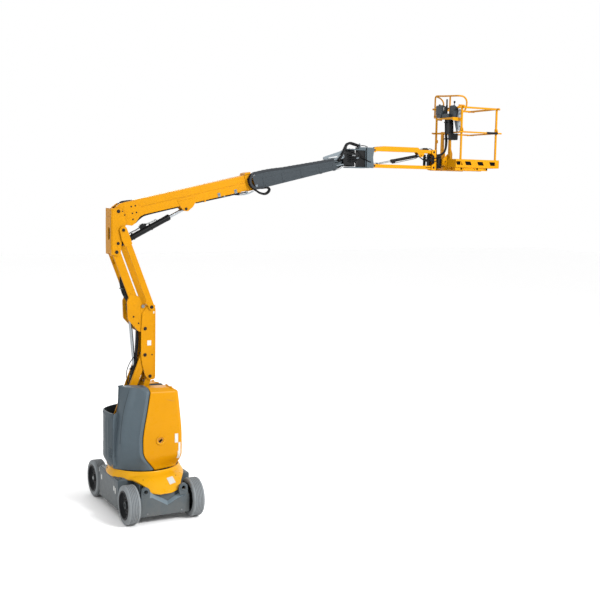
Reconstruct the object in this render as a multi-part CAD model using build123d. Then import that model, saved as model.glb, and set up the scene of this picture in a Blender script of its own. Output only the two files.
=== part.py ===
from build123d import *
import os, math

os.makedirs("parts", exist_ok=True)

# Compact electric articulating boom lift.
# Millimetres. Origin on the ground under the slewing axis.  +X is the reach
# direction of the boom, +Y runs along the chassis (its drive end with the prow
# points to -Y, its steered end to +Y), +Z is up.

# ---------------------------------------------------------------- driving dims
WHEEL_R, WHEEL_W = 295.0, 186.0
WHEEL_X, WHEEL_Y = 507.0, 802.5          # wheel centres
TYRE_IN = 205.0                          # inner radius of the solid tyre
STEER_MAX = 25.0
KING_X = 487.0                           # kingpins of the steered wheels
BODY_X, BODY_Y = 575.0, 474.0            # half width and half length of the hull
BODY_Z0, DECK_Z = 125.0, 580.0
LUG_X, LUG_Z, LUG_R, LUG_BORE = 300.0, 500.0, 68.0, 30.0
NOSE_Y = 950.0                           # front face of the drive beam
TAIL_Y = 930.0                           # rear face of the steered beam

TT_Z0, TT_Z1, TT_R = 622.0, 662.0, 515.0 # turntable disc
SKIRT_Z = 680.0

# lateral layers of the folding arms (half distances from the centre plane)
KN_OUT, KN_IN = 140.0, 125.0             # knuckle side plates
BEAM_OUT, BEAM_IN = 120.0, 85.0          # twin beams between the plates
TIE_IN, TIE_OUT = 145.0, 168.0           # upper tie bars outside the plates
PIN_R, PIN_GAP = 20.0, 0.5

# pins of the riser linkage at rest, x and z
LEAN = math.radians(20.8)                # lean of the arms from the vertical
L_LOW, L_UP = 1340.0, 1271.0
PB2 = (-31.0, 2430.0)                    # lower arm to middle knuckle
PB4 = (50.0, 2090.0)                     # lower tie to middle knuckle
PB1 = (-28.0, 2840.0)                    # upper arm to middle knuckle
PTB = (69.0, 3174.0)                     # upper tie to middle knuckle
sn, cs = math.sin(LEAN), math.cos(LEAN)
PLA = (PB2[0] - L_LOW * sn, PB2[1] - L_LOW * cs)     # lower arm to turret
PLT = (PB4[0] - L_LOW * sn, PB4[1] - L_LOW * cs)     # lower tie to turret
PUA = (PB1[0] - L_UP * sn, PB1[1] + L_UP * cs)       # upper arm to top knuckle
PTT = (PTB[0] - L_UP * sn, PTB[1] + L_UP * cs)       # upper tie to top knuckle
PRC_TOP = (-228.0, 3026.0)               # riser cylinder eye on the upper arm
PRC_BOT = (-90.0, 1420.0)                # riser cylinder foot on the lower arm

# boom
BOOM_EL = math.radians(12.7)
PBR = (-449.0, 4644.0)                   # boom root pin
PLC_BOT = (-440.0, 4118.0)               # lift cylinder foot
PLC_TOP = (658.0, 4687.0)                 # lift cylinder eye
BOOM_Y = 85.0
BOOM_H0, BOOM_H1 = -140.0, 110.0         # boom section, below and above the pin line
BOOM_LEN = 2290.0
IN_Y = 60.0                              # inner boom half width
IN_H0, IN_H1 = -122.0, 42.0
PLV = (3480.0, 5470.0)                   # levelling pin at the boom tip
SWIVEL_X = 3650.0
JIB_UL, JIB_LL = (4125.0, 5717.0), (4125.0, 5446.0)
JIB_L = 1225.0
ROT_X = 5485.0                           # basket rotator axis
FLOOR_Z = 5460.0
FLOOR = (5580.0, 6540.0, -400.0, 400.0)
RAIL_TOP, RAIL_MID = 6505.0, 6075.0

# ---------------------------------------------------------------- helpers
def solid_poly(pts3, vec):
    w = Wire.make_polygon([Vector(*p) for p in pts3], close=True)
    return Solid.extrude(Face(w), Vector(*vec))

def xz(pts, y0, y1):
    return solid_poly([(x, y0, z) for x, z in pts], (0, y1 - y0, 0))

def xy(pts, z0, z1):
    return solid_poly([(x, y, z0) for x, y in pts], (0, 0, z1 - z0))

def yz(pts, x0, x1):
    return solid_poly([(x0, y, z) for y, z in pts], (x1 - x0, 0, 0))

def box(x0, x1, y0, y1, z0, z1):
    return Solid.make_box(x1 - x0, y1 - y0, z1 - z0, Plane((x0, y0, z0)))

def rod(p, q, r):
    a, b = Vector(*p), Vector(*q)
    return Solid.make_cylinder(r, (b - a).length, Plane(a, z_dir=(b - a)))

def ycyl(p, r, y0, y1):
    return rod((p[0], y0, p[1]), (p[0], y1, p[1]), r)

def ring(r0, r1, z0, z1, c=(0, 0)):
    return rod((c[0], c[1], z0), (c[0], c[1], z1), r1) - rod((c[0], c[1], z0 - 1), (c[0], c[1], z1 + 1), r0)

def both(fn):
    """a piece built on the -Y side and its mirror on the +Y side"""
    s = fn()
    return [s, s.mirror(Plane.XZ)]

def along(p, ang, pts):
    """points given along and across a direction, turned into x and z"""
    c, s = math.cos(ang), math.sin(ang)
    return [(p[0] + u * c - v * s, p[1] + u * s + v * c) for u, v in pts]

def link(p, q, w, y0, y1, e=None):
    """a flat bar with round ends from pin p to pin q, of in-plane width w"""
    a = math.atan2(q[1] - p[1], q[0] - p[0])
    l = math.dist(p, q)
    e = e or w / 2
    body = xz(along(p, a, [(0, -w / 2), (l, -w / 2), (l, w / 2), (0, w / 2)]), y0, y1)
    return body.fuse(ycyl(p, e, y0, y1), ycyl(q, e, y0, y1))

def one(*s):
    s = [x for g in s for x in (g if isinstance(g, (list, tuple)) else [g])]
    return s[0].fuse(*s[1:]) if len(s) > 1 else s[0]

def solids(s):
    out = []
    for x in (s if isinstance(s, (list, tuple)) else [s]):
        out += list(x.solids())
    return out

def put(name, *s):
    sol = []
    for x in s:
        sol += solids(x)
    comp = Compound(sol) if len(sol) > 1 else sol[0]
    export_step(comp, f"parts/{name}.step")

# ================================================================ chassis
hull = box(-BODY_X, BODY_X, -BODY_Y, BODY_Y, BODY_Z0, DECK_Z) - box(
    -BODY_X + 20, BODY_X - 20, -BODY_Y + 20, BODY_Y - 20, BODY_Z0 + 20, DECK_Z - 20)
put("chassis_frame", hull)
put("chassis_ballast", box(-480, 480, -400, 400, 150, 470))
put("slew_ring", ring(330, 430, DECK_Z, TT_Z0))

# drive beam with its V nosed front plate and two tie-down lugs
nose = xz([(-385, 135), (385, 135), (385, 372), (235, 385), (0, 278), (-235, 385), (-385, 372)], -NOSE_Y, -NOSE_Y + 45)
body = box(-340, 340, -NOSE_Y + 45, -BODY_Y, 140, 300)
upper = xz([(-320, 300), (320, 300), (320, 545), (-320, 545)], -690, -BODY_Y)
lugs = []
for sx in (-1, 1):
    lug = xz([(sx * 232, 370), (sx * 368, 370), (sx * 368, LUG_Z), (sx * 232, LUG_Z)], -NOSE_Y, -NOSE_Y + 45)
    lug = lug.fuse(ycyl((sx * LUG_X, LUG_Z), LUG_R, -NOSE_Y, -NOSE_Y + 45))
    lugs.append(lug)
beam = one(nose, body, upper, *lugs)
for sx in (-1, 1):
    beam = beam - ycyl((sx * LUG_X, LUG_Z), LUG_BORE, -NOSE_Y - 5, -NOSE_Y + 60)
put("drive_beam", beam)
put("drive_motors", *[rod((sx * 341, -WHEEL_Y, WHEEL_R), (sx * 535, -WHEEL_Y, WHEEL_R), 100) for sx in (-1, 1)])

# steered beam, its kingpin arms and lugs
tail = one(box(-270, 270, BODY_Y, TAIL_Y, 140, 430),
           box(-240, 240, BODY_Y, 800, 430, 560),
           *[box(min(sx * 250, sx * (KING_X + 33)), max(sx * 250, sx * (KING_X + 33)), WHEEL_Y - 38, WHEEL_Y + 38, z, z + 28)
             for sx in (-1, 1) for z in (150, 412)],
           *[xz([(sx * 140, 420), (sx * 260, 420), (sx * 260, LUG_Z), (sx * 140, LUG_Z)], TAIL_Y - 45, TAIL_Y)
             for sx in (-1, 1)],
           *[ycyl((sx * 200, LUG_Z), 60, TAIL_Y - 45, TAIL_Y) for sx in (-1, 1)])
for sx in (-1, 1):
    tail = tail - ycyl((sx * 200, LUG_Z), LUG_BORE, TAIL_Y - 60, TAIL_Y + 5)
put("steer_beam", tail)

# skirt round the turntable with its prow over the drive beam
sk = Solid.revolve(Face(Wire.make_polygon([Vector(528, 0, DECK_Z), Vector(590, 0, DECK_Z), Vector(590, 0, DECK_Z + 18),
                                           Vector(548, 0, SKIRT_Z), Vector(528, 0, SKIRT_Z)], close=True)), 360, Axis.Z)
prow = yz([(-300, DECK_Z), (-655, DECK_Z), (-868, 452), (-965, 438), (-965, 468), (-860, 490), (-640, 625), (-500, 660), (-300, 660)], -400, 400)
prow = prow & xy([(-400, -300), (400, -300), (380, -550), (295, -700), (240, -800), (212, -880), (0, -965), (-212, -880), (-240, -800), (-295, -700), (-380, -550)], 400, 700)
prow = prow - rod((0, 0, 400), (0, 0, 800), 560)
put("turntable_skirt", one(sk, prow))

# wheels: solid tyres, dished rims
def tyre(x, y):
    a = rod((x - WHEEL_W / 2, y, WHEEL_R), (x + WHEEL_W / 2, y, WHEEL_R), WHEEL_R)
    a = a.chamfer(10, None, a.edges().filter_by(GeomType.CIRCLE))
    return a - rod((x - 200, y, WHEEL_R), (x + 200, y, WHEEL_R), TYRE_IN)

def rim(x, y):
    s = 1 if x > 0 else -1
    def seg(a, b, r):
        return rod((x + s * a, y, WHEEL_R), (x + s * b, y, WHEEL_R), r)
    shell = seg(-85, 85, TYRE_IN - 0.3) - seg(-95, 95, 190)
    disc = seg(46, 60, 191)
    hub = seg(42, 78, 62)
    bore = seg(0, 64, 31)
    return one(shell, disc, hub) - bore

WHEELS = [  # name, side, end
    ("drive_left", -1, -1), ("drive_right", 1, -1), ("steer_left", -1, 1), ("steer_right", 1, 1)]
for n, sx, sy in WHEELS:
    put("tyre_" + n, tyre(sx * WHEEL_X, sy * WHEEL_Y))
    put("rim_" + n, rim(sx * WHEEL_X, sy * WHEEL_Y))
for n, sx in (("left", -1), ("right", 1)):
    x = sx * KING_X
    kn = one(rod((x, WHEEL_Y, 179), (x, WHEEL_Y, 411), 30),
             rod((x, WHEEL_Y, WHEEL_R), (sx * (WHEEL_X + 36), WHEEL_Y, WHEEL_R), 55),
             rod((x, WHEEL_Y, WHEEL_R), (sx * (WHEEL_X + 60), WHEEL_Y, WHEEL_R), 30))
    put("steering_knuckle_" + n, kn)

# ================================================================ turret
put("turntable", rod((0, 0, TT_Z0), (0, 0, TT_Z1), TT_R))
tower = []
for sy in (-1, 1):
    p = xz([(-490, TT_Z1), (-300, TT_Z1), (-330, 980), (-440, 1240), (-562, 1240), (-562, 690), (-490, 690)], sy * KN_IN, sy * (KN_IN + 20))
    tower.append(p)
tower.append(box(-430, -310, -KN_IN - 2, KN_IN + 2, TT_Z1, TT_Z1 + 60))
tower += [ycyl(PLA, PIN_R, -KN_OUT, KN_OUT), ycyl(PLT, PIN_R, -KN_OUT, KN_OUT)]
put("arm_tower", one(*tower))

# pods: outline in side view, plan and end view
POD_OUT, POD_IN, WALL = 550.0, 205.0, 22.0
side_near = [(-600, 705), (-600, 1250), (-585, 1500), (-540, 1800), (-480, 2000), (300, 1965), (375, 1915), (440, 1290), (443, 810), (375, 705)]
side_far = [(-600, 705), (-600, 1550), (-180, 1565), (-60, 1880), (300, 1900), (385, 1850), (440, 1290), (443, 810), (375, 705)]
plan = [(-568, 205), (-520, 330), (-430, 445), (-330, 515), (-215, 550), (350, 550), (415, 520), (445, 450), (445, 205)]
endv = [(205, 705), (205, 2010), (470, 2010), (520, 1960), (550, 1400), (550, 900), (520, 705)]

def shrink(pts, d):
    """polygon moved inwards by d"""
    n = len(pts)
    area = sum(pts[i][0] * pts[(i + 1) % n][1] - pts[(i + 1) % n][0] * pts[i][1] for i in range(n))
    sgn = 1 if area > 0 else -1
    out = []
    for i in range(n):
        a, b, c = pts[i - 1], pts[i], pts[(i + 1) % n]
        def nrm(p, q):
            l = math.dist(p, q)
            return (-(q[1] - p[1]) / l * sgn, (q[0] - p[0]) / l * sgn)
        n1, n2 = nrm(a, b), nrm(b, c)
        k = 1 + n1[0] * n2[0] + n1[1] * n2[1]
        out.append((b[0] + d * (n1[0] + n2[0]) / k, b[1] + d * (n1[1] + n2[1]) / k))
    return out

def pod(side, d):
    s, p, e = (shrink(side, d), shrink(plan, d), shrink(endv, d)) if d else (side, plan, endv)
    return xz(s, 150, 600) & xy(p, 650, 2100) & yz(e, -700, 700)

split = [(-94, 2100), (-94, 1950), (-215, 1255), (-212, 950), (-40, 722), (-40, 600), (600, 600), (600, 2100)]
for n, side, sy in (("left", side_near, -1), ("right", side_far, 1)):
    shell = pod(side, 0) - pod(side, WALL)
    cut = xz(split, 234, 700)
    gap = xz([(x - 6 if x < 500 else x, z) for x, z in split], 228, 700)
    door, cover = shell & cut, shell - gap
    if sy < 0:
        door, cover = door.mirror(Plane.XZ), cover.mirror(Plane.XZ)
    put("door_" + n, door)
    put("cover_" + n, cover)
put("rear_wall", xy([(-575, -199), (-598, -140), (-598, 140), (-575, 199), (-551, 199), (-574, 140), (-574, -140), (-551, -199)], 705, 1550))
put("battery_pack", box(-150, 320, 240, 480, 740, 1250))
put("hydraulic_unit", box(-150, 320, -480, -240, 740, 1150))
put("counterweight", *[box(-430, -200, min(sy * 240, sy * 370), max(sy * 240, sy * 370), 740, 1350) for sy in (-1, 1)])

# ================================================================ riser
def bore(p, y=260, r=PIN_R + PIN_GAP):
    return ycyl(p, r, -y, y)

def twin(p, q, w, y0, y1, extra=()):
    return [link(p, q, w, s * y0, s * y1) for s in (-1, 1)]

# lower arm: twin beams, cross tubes clear of the cylinder, a foot for the cylinder
low = twin(PLA, PB2, 118, BEAM_IN, BEAM_OUT)
ang = math.atan2(PB2[1] - PLA[1], PB2[0] - PLA[0])
for u in (130, 1250):
    c = along(PLA, ang, [(u, 0)])[0]
    low.append(ycyl(c, 30, -BEAM_IN - 5, BEAM_IN + 5))
foot = []
for sy in (-1, 1):
    a = along(PLA, ang, [(90, 0), (430, 0)])
    foot.append(xz([a[0], a[1], (PRC_BOT[0] + 30, PRC_BOT[1] + 50), (PRC_BOT[0] + 50, PRC_BOT[1] - 10), (PRC_BOT[0], PRC_BOT[1] - 55)], sy * 60, sy * 80))
low += foot
low.append(ycyl(along(PLA, ang, [(400, 0)])[0], 24, -BEAM_IN - 5, BEAM_IN + 5))
low.append(ycyl(PRC_BOT, 22, -80, 80))
low = one(*low) - bore(PLA) - bore(PB2)
put("lower_arm", low)

lt = one(*twin(PLT, PB4, 90, BEAM_IN, BEAM_OUT), *[ycyl(along(PLT, ang, [(u, 0)])[0], 25, -BEAM_IN - 5, BEAM_IN + 5) for u in (100, 1240)]) - bore(PLT) - bore(PB4)
put("lower_tie", lt)

mk = []
mid_outline = [(-75, 3080), (20, 3205), (135, 3205), (135, 2040), (30, 2030), (-30, 2110), (-80, 2300), (-95, 2440), (-90, 2840)]
for sy in (-1, 1):
    mk.append(xz(mid_outline, sy * KN_IN, sy * KN_OUT))
mk.append(box(123, 135, -KN_IN - 2, KN_IN + 2, 2060, 3150))
for p in (PB1, PB2, PB4):
    mk.append(ycyl(p, PIN_R, -KN_OUT - 4, KN_OUT + 4))
for sy in (-1, 1):
    mk.append(ycyl(PTB, PIN_R, sy * KN_IN, sy * (TIE_OUT + 4)))
put("middle_knuckle", one(*mk))

ua_ang = math.atan2(PUA[1] - PB1[1], PUA[0] - PB1[0])
up = twin(PB1, PUA, 128, BEAM_IN, BEAM_OUT)
for sy in (-1, 1):
    cheek = xz([(PB1[0] + 40, PB1[1] - 45), (PB1[0] + 68, PB1[1] + 120), (-120, 3340), (-255, 3400), (-310, 3260), (-300, 2990), (-130, 2800), (PB1[0] - 20, PB1[1] - 62)],
               sy * BEAM_IN, sy * (BEAM_IN + 20))
    up.append(cheek)
up += [ycyl(PRC_TOP, 22, sy * 60, sy * (BEAM_IN + 28)) for sy in (-1, 1)]
up += [ycyl(PRC_TOP, 46, sy * 60, sy * (BEAM_IN + 4)) for sy in (-1, 1)]
for u in (620, 1120):
    up.append(ycyl(along(PB1, ua_ang, [(u, 0)])[0], 30, -BEAM_IN - 5, BEAM_IN + 5))
up = one(*up) - bore(PB1) - bore(PUA)
put("upper_arm", up)

put("upper_tie", *[link(PTB, PTT, 118, sy * TIE_IN, sy * TIE_OUT) - bore(PTB) - bore(PTT) for sy in (-1, 1)])

tk = []
top_outline = [(-552, 3990), (-420, 3960), (-400, 4180), (-355, 4390), (-330, 4440), (-366, 4650), (-420, 4684), (-552, 4684)]
for sy in (-1, 1):
    tk.append(xz(top_outline, sy * KN_IN, sy * KN_OUT))
tk.append(box(-562, -549, -KN_OUT, KN_OUT, 4020, 4684))
for p in (PUA, PBR, PLC_BOT):
    tk.append(ycyl(p, PIN_R, -KN_OUT - 4, KN_OUT + 4))
for sy in (-1, 1):
    tk.append(ycyl(PTT, PIN_R, sy * KN_IN, sy * (TIE_OUT + 4)))
put("top_knuckle", one(*tk))

def cylinder(p, q, rb, rr, lb, rl, ey, name, eye_b=38, eye_t=32, foot_pin=22):
    """barrel at pin p, lb long, and a rod rl long whose eye and pin q float between their lugs"""
    a = Vector(p[0], 0, p[1]); b = Vector(q[0], 0, q[1])
    d = (b - a).normalized(); L = (b - a).length
    s = lambda t: tuple(a + d * t)
    barrel = one(rod(s(20), s(lb), rb), ycyl(p, eye_b, -ey, ey))
    barrel = barrel - rod(s(70), s(lb + 5), rr + 1) - bore(p, 200, foot_pin + PIN_GAP)
    rodp = one(rod(s(L - rl), s(L - 10), rr), ycyl(q, eye_t, -ey, ey))
    put(name + "_barrel", barrel)
    put(name + "_rod", rodp)

cylinder(PRC_BOT, PRC_TOP, 45, 25, 835, 810, 50, "riser_cylinder")

# ================================================================ boom
def bm(pts):
    return along(PBR, BOOM_EL, pts)

def uv(p):
    dx, dz = p[0] - PBR[0], p[1] - PBR[1]
    c, s = math.cos(BOOM_EL), math.sin(BOOM_EL)
    return (dx * c + dz * s, -dx * s + dz * c)

T = 8.0
tube = xz(bm([(130, BOOM_H0), (BOOM_LEN, BOOM_H0), (BOOM_LEN, BOOM_H1), (130, BOOM_H1)]), -BOOM_Y, BOOM_Y)
hole = xz(bm([(330, BOOM_H0 + T), (BOOM_LEN + 9, BOOM_H0 + T), (BOOM_LEN + 9, BOOM_H1 - T), (330, BOOM_H1 - T)]), -BOOM_Y + T, BOOM_Y - T)
root = [xz(bm([(-45, -40), (20, -48), (90, -230), (170, -265), (235, -235), (400, BOOM_H0 + 5), (400, 60), (330, BOOM_H1 - 2), (60, BOOM_H1 - 2), (-45, 60)]),
           sy * 70, sy * 98) for sy in (-1, 1)]
lug_uv = uv(PLC_TOP)
brk = [xz(bm([(lug_uv[0] - 150, BOOM_H0 + 40), (lug_uv[0] - 90, BOOM_H0 - 30), (lug_uv[0] - 30, lug_uv[1] - 42), (lug_uv[0] + 30, lug_uv[1] - 42),
               (lug_uv[0] + 130, BOOM_H0 - 40), (lug_uv[0] + 200, BOOM_H0 + 40)]), sy * 62, sy * 92) for sy in (-1, 1)]
ob = one(tube - hole, *root)
ob = one(ob, *brk, *[ycyl(PLC_TOP, 24, sy * 62, sy * 100) for sy in (-1, 1)])
ob = ob - bore(PBR)
put("outer_boom", ob)

cylinder(PLC_BOT, PLC_TOP, 48, 26, 960, 1040, 46, "lift_cylinder", eye_t=26, foot_pin=PIN_R)

ib_end = 3905.0
ib = xz(bm([(BOOM_LEN - 450, IN_H0), (ib_end, IN_H0), (ib_end, IN_H1), (BOOM_LEN - 450, IN_H1)]), -IN_Y, IN_Y)
ib = ib - xz(bm([(BOOM_LEN - 460, IN_H0 + 6), (ib_end - 60, IN_H0 + 6), (ib_end - 60, IN_H1 - 6), (BOOM_LEN - 460, IN_H1 - 6)]), -IN_Y + 6, IN_Y - 6)
lv = uv(PLV)
ears = [xz(bm([(ib_end - 80, IN_H0), (lv[0], lv[1] - 45), (lv[0] + 40, lv[1] - 20), (lv[0] + 40, lv[1] + 20), (lv[0], lv[1] + 45), (ib_end - 80, IN_H1)]), sy * 40, sy * 58) for sy in (-1, 1)]
ib = one(ib, *ears) - bore(PLV)
put("inner_boom", ib)
put("hose_chain", xz(bm([(2215, -60), (2260, -130), (2330, -152), (3830, -128), (3830, 60), (2600, 105), (2330, 125), (2260, 95), (2215, 20)]), -172, -92))

# levelled boom tip, rotary actuator and swinging bracket
tip = one(xz([(PLV[0] - 40, PLV[1] - 30), (PLV[0] + 40, PLV[1] - 45), (3600, 5430), (3600, 5690), (3500, 5690), (PLV[0] - 30, 5560)], -36, 36),
          rod((SWIVEL_X, 0, 5425), (SWIVEL_X, 0, 5695), 95), ycyl(PLV, PIN_R, -64, 64))
put("boom_tip", tip)
BR_Y = 70.0
brkt = one(box(3935, 3960, -BR_Y, BR_Y, 5405, 5755),
           box(SWIVEL_X - 90, 3940, -BR_Y, BR_Y, 5701, 5755),
           box(SWIVEL_X - 90, 3940, -BR_Y, BR_Y, 5400, 5420),
           *[xz([(3955, 5405), (3975, 5405), (3990, 5425), (4190, 5425), (4228, 5480), (4205, 5515), (4110, 5560), (4110, 5640), (4160, 5690), (4160, 5755), (3955, 5755)],
                sy * 58, sy * 70) for sy in (-1, 1)],
           ycyl(JIB_UL, 18, -74, 74), *[ycyl(JIB_LL, 18, sy * 35, sy * 74) for sy in (-1, 1)])
put("jib_bracket", brkt)

jb = lambda p: (p[0] + JIB_L, p[1])
JIB_UR, JIB_LR = jb(JIB_UL), jb(JIB_LL)
JIB_FOOT, JIB_EYE = (5090.0, 5652.0), (4190.0, 5480.0)   # jib cylinder: barrel pin, rod eye
JIB_BAR = 36.0                           # inner face of the jib's bars
ju = xz([(4125, 5679), (5350, 5683), (5350, 5751), (5060, 5751), (5020, 5787), (4300, 5787), (4220, 5760), (4125, 5755)], -50, 50)
ju = one(ju, ycyl(JIB_UL, 38, -50, 50), ycyl(JIB_UR, 34, -50, 50),
         xz([(5010, 5700), (5170, 5700), (5120, 5620), (5060, 5620)], -50, 50))
ju = ju - box(4172, 5176, -JIB_BAR, JIB_BAR, 5600, 5704) - bore(JIB_UL, 100, 18.5) - bore(JIB_UR, 100, 18.5)
ju = one(ju, ycyl(JIB_FOOT, 16, -50, 50))
put("jib_upper_arm", ju)
jl = one(link(JIB_LL, JIB_LR, 60, -50, -JIB_BAR), link(JIB_LL, JIB_LR, 60, JIB_BAR, 50),
         box(5190, 5300, -50, 50, 5440, 5452)) - bore(JIB_LL, 100, 18.5) - bore(JIB_LR, 100, 18.5)
put("jib_lower_arm", jl)
cylinder(JIB_FOOT, JIB_EYE, 28, 15, 620, 630, 28, "jib_cylinder", eye_b=26, eye_t=26, foot_pin=16)
head = one(box(5394, 5410, -70, 70, 5400, 5760),
           *[box(5310, 5396, min(sy * 56, sy * 70), max(sy * 56, sy * 70), 5400, 5760) for sy in (-1, 1)],
           ycyl(JIB_UR, 18, -74, 74), ycyl(JIB_LR, 18, -74, 74),
           box(5405, 5535, -48, 48, 5440, 5472), box(5405, 5535, -48, 48, 5628, 5655),
           rod((ROT_X, 0, 5460), (ROT_X, 0, 5640), 46))
put("jib_head", head)

# ================================================================ basket
sup = one(ring(50, 64, 5480, 5620, (ROT_X, 0)), box(ROT_X + 55, 5650, -60, 60, 5500, 5600),
          *[box(5640, 5676, min(sy * 100, sy * 140), max(sy * 100, sy * 140), 5420, RAIL_MID + 15) for sy in (-1, 1)],
          box(5640, 5676, -140, 140, RAIL_MID - 25, RAIL_MID + 15), box(5640, 5676, -140, 140, 5420, 5620))
put("basket_support", sup)
x0, x1, y0, y1 = FLOOR
fl = one(box(x0, x1, y0, y1, FLOOR_Z, FLOOR_Z + 15), box(x0, x1, y0, y0 + 6, FLOOR_Z, FLOOR_Z + 140), box(x0, x1, y1 - 6, y1, FLOOR_Z, FLOOR_Z + 140),
         box(x0, x0 + 6, y0, y1, FLOOR_Z, FLOOR_Z + 140), box(x1 - 6, x1, y0, y1, FLOOR_Z, FLOOR_Z + 140))
fl = fl - box(5570, 5682, -146, 146, 5400, 5640)
put("basket_floor", fl)
RP = 17.0
POSTS = {"bn": (5702, -376), "bf": (5702, 376), "en": (6465, -376), "ef": (6465, 376)}
def side(a, b, name, z0=FLOOR_Z + 20, over=90):
    (xa, ya), (xb, yb) = a, b
    d = Vector(xb - xa, yb - ya, 0).normalized()
    pa, pb = Vector(xa, ya, 0) - d * over, Vector(xb, yb, 0) + d * over
    return pa, pb
rails = []
xa_, over_ = {k: v[0] for k, v in POSTS.items()}, 90
for n, (x, y) in POSTS.items():
    rails.append(rod((x, y, FLOOR_Z + 16), (x, y, RAIL_TOP), RP))
for a, b in (("bn", "en"), ("bf", "ef"), ("bn", "bf"), ("en", "ef")):
    pa, pb = side(POSTS[a], POSTS[b], "")
    rails.append(rod((pa.X, pa.Y, RAIL_TOP), (pb.X, pb.Y, RAIL_TOP), RP))
    if a == "bf":
        rails.append(rod((pa.X, pa.Y, RAIL_MID), (pb.X, pb.Y, RAIL_MID), RP - 3))
    elif b != "en" or a != "bn":
        rails.append(rod((xa_[a], -376 - 10, RAIL_MID), (xa_[a], 376 + over_, RAIL_MID), RP - 3))
rl = one(*rails)
put("basket_rails", rl)
bar = one(rod((5702 - 80, -424, RAIL_MID), (6465 + 80, -424, RAIL_MID), 14),
          *[ring(RP + 3, RP + 11, RAIL_MID + 22, RAIL_MID + 80, (x, -376)) for x in (5702, 6465)],
          *[box(x - 8, x + 8, -432, -400, RAIL_MID, RAIL_MID + 60) for x in (5702, 6465)])
put("entry_bar", bar)
put("control_console", box(5560, 5640, -300, 330, 6370, 6530))


# guard hoop over the console
HOOP_Z, HOOP_X = 6690.0, 5625.0
gh = one(rod((HOOP_X, -376, HOOP_Z), (HOOP_X, 376, HOOP_Z), 14),
         *[rod((HOOP_X, y, RAIL_TOP + 18), (HOOP_X, y, HOOP_Z), 14) for y in (-362, 362)],
         *[rod((HOOP_X, y, RAIL_TOP + 32), (5702, y, RAIL_TOP + 32), 14) for y in (-362, 362)])
put("guard_hoop", gh)
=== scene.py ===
import bpy, bmesh, math
from mathutils import Vector, Matrix, noise
from mathutils.geometry import tessellate_polygon


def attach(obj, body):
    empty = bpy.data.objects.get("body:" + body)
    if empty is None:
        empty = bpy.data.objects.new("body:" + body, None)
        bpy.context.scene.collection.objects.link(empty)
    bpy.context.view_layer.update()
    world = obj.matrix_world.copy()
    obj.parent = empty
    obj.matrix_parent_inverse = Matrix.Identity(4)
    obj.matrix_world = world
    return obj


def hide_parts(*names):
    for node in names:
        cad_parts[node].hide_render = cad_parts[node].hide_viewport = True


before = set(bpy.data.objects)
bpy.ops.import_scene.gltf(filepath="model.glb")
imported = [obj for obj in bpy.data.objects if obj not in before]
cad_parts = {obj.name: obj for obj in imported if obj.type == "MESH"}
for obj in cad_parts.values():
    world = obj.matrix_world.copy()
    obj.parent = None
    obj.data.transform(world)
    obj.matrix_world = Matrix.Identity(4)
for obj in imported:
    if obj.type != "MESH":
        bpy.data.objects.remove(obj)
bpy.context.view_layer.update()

# ------------------------------------------------------------------ camera, light, floor
cam = bpy.data.cameras.new("camera")
co = bpy.data.objects.new("camera", cam)
bpy.context.scene.collection.objects.link(co)
bpy.context.scene.camera = co
cam.sensor_width = 36.0
cam.lens = 60.94
cam.clip_end = 200.0
_F = Vector((0.470641, 0.882325, 0.0)) * math.cos(-0.10717) + Vector((0, 0, math.sin(-0.10717)))
_r0 = Vector((0.882325, -0.470641, 0.0))
_u0 = _r0.cross(_F)
_al = 0.01725
_r = _r0 * math.cos(_al) + _u0 * math.sin(_al)
_u = _u0 * math.cos(_al) - _r0 * math.sin(_al)
co.matrix_world = Matrix(((_r.x, _u.x, -_F.x, -5.2445), (_r.y, _u.y, -_F.y, -14.9873), (_r.z, _u.z, -_F.z, 5.0), (0, 0, 0, 1)))


def area(name, loc, target, size, power, col=(1, 1, 1)):
    l = bpy.data.lights.new(name, "AREA")
    l.shape = "DISK"
    l.size = size
    l.energy = power
    l.color = col
    o = bpy.data.objects.new(name, l)
    o.location = loc
    o.rotation_euler = (Vector(target) - Vector(loc)).to_track_quat("-Z", "Y").to_euler()
    bpy.context.scene.collection.objects.link(o)


area("key", (6.5, -12.5, 11.0), (1.5, 0, 2.5), 5.0, 2500)
area("fill", (11.0, -9.0, 7.0), (0.5, 0, 2.5), 8.0, 150)
area("back", (2.0, 12.0, 9.0), (2.0, 0, 3.0), 8.0, 500)
world = bpy.data.worlds.new("world")
bpy.context.scene.world = world
world.use_nodes = True
world.node_tree.nodes["Background"].inputs[0].default_value = (1, 1, 1, 1)
world.node_tree.nodes["Background"].inputs[1].default_value = 1.0
bpy.context.scene.view_settings.view_transform = "Standard"
bpy.context.scene.view_settings.look = "None"

# ------------------------------------------------------------------ materials
def lin(h):
    v = [int(h[i:i + 2], 16) / 255 for i in (0, 2, 4)]
    return tuple((c / 12.92 if c <= 0.04045 else ((c + 0.055) / 1.055) ** 2.4) for c in v) + (1.0,)


def new_mat(name):
    m = bpy.data.materials.new(name)
    m.use_nodes = True
    n = m.node_tree
    return m, n, n.nodes["Principled BSDF"]


def N(t, kind, **kw):
    n = t.nodes.new(kind)
    for k, v in kw.items():
        if isinstance(k, str) and hasattr(n, k):
            setattr(n, k, v)
    return n


def ramp(t, a, b, ca=(0, 0, 0, 1), cb=(1, 1, 1, 1)):
    r = t.nodes.new("ShaderNodeValToRGB")
    r.color_ramp.elements[0].position = a
    r.color_ramp.elements[0].color = ca
    r.color_ramp.elements[1].position = b
    r.color_ramp.elements[1].color = cb
    return r


def noise_tex(t, scale, detail=4, rough=0.55, vec=None):
    n = t.nodes.new("ShaderNodeTexNoise")
    n.inputs["Scale"].default_value = scale
    n.inputs["Detail"].default_value = detail
    n.inputs["Roughness"].default_value = rough
    if vec is not None:
        t.links.new(vec, n.inputs["Vector"])
    return n


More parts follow.
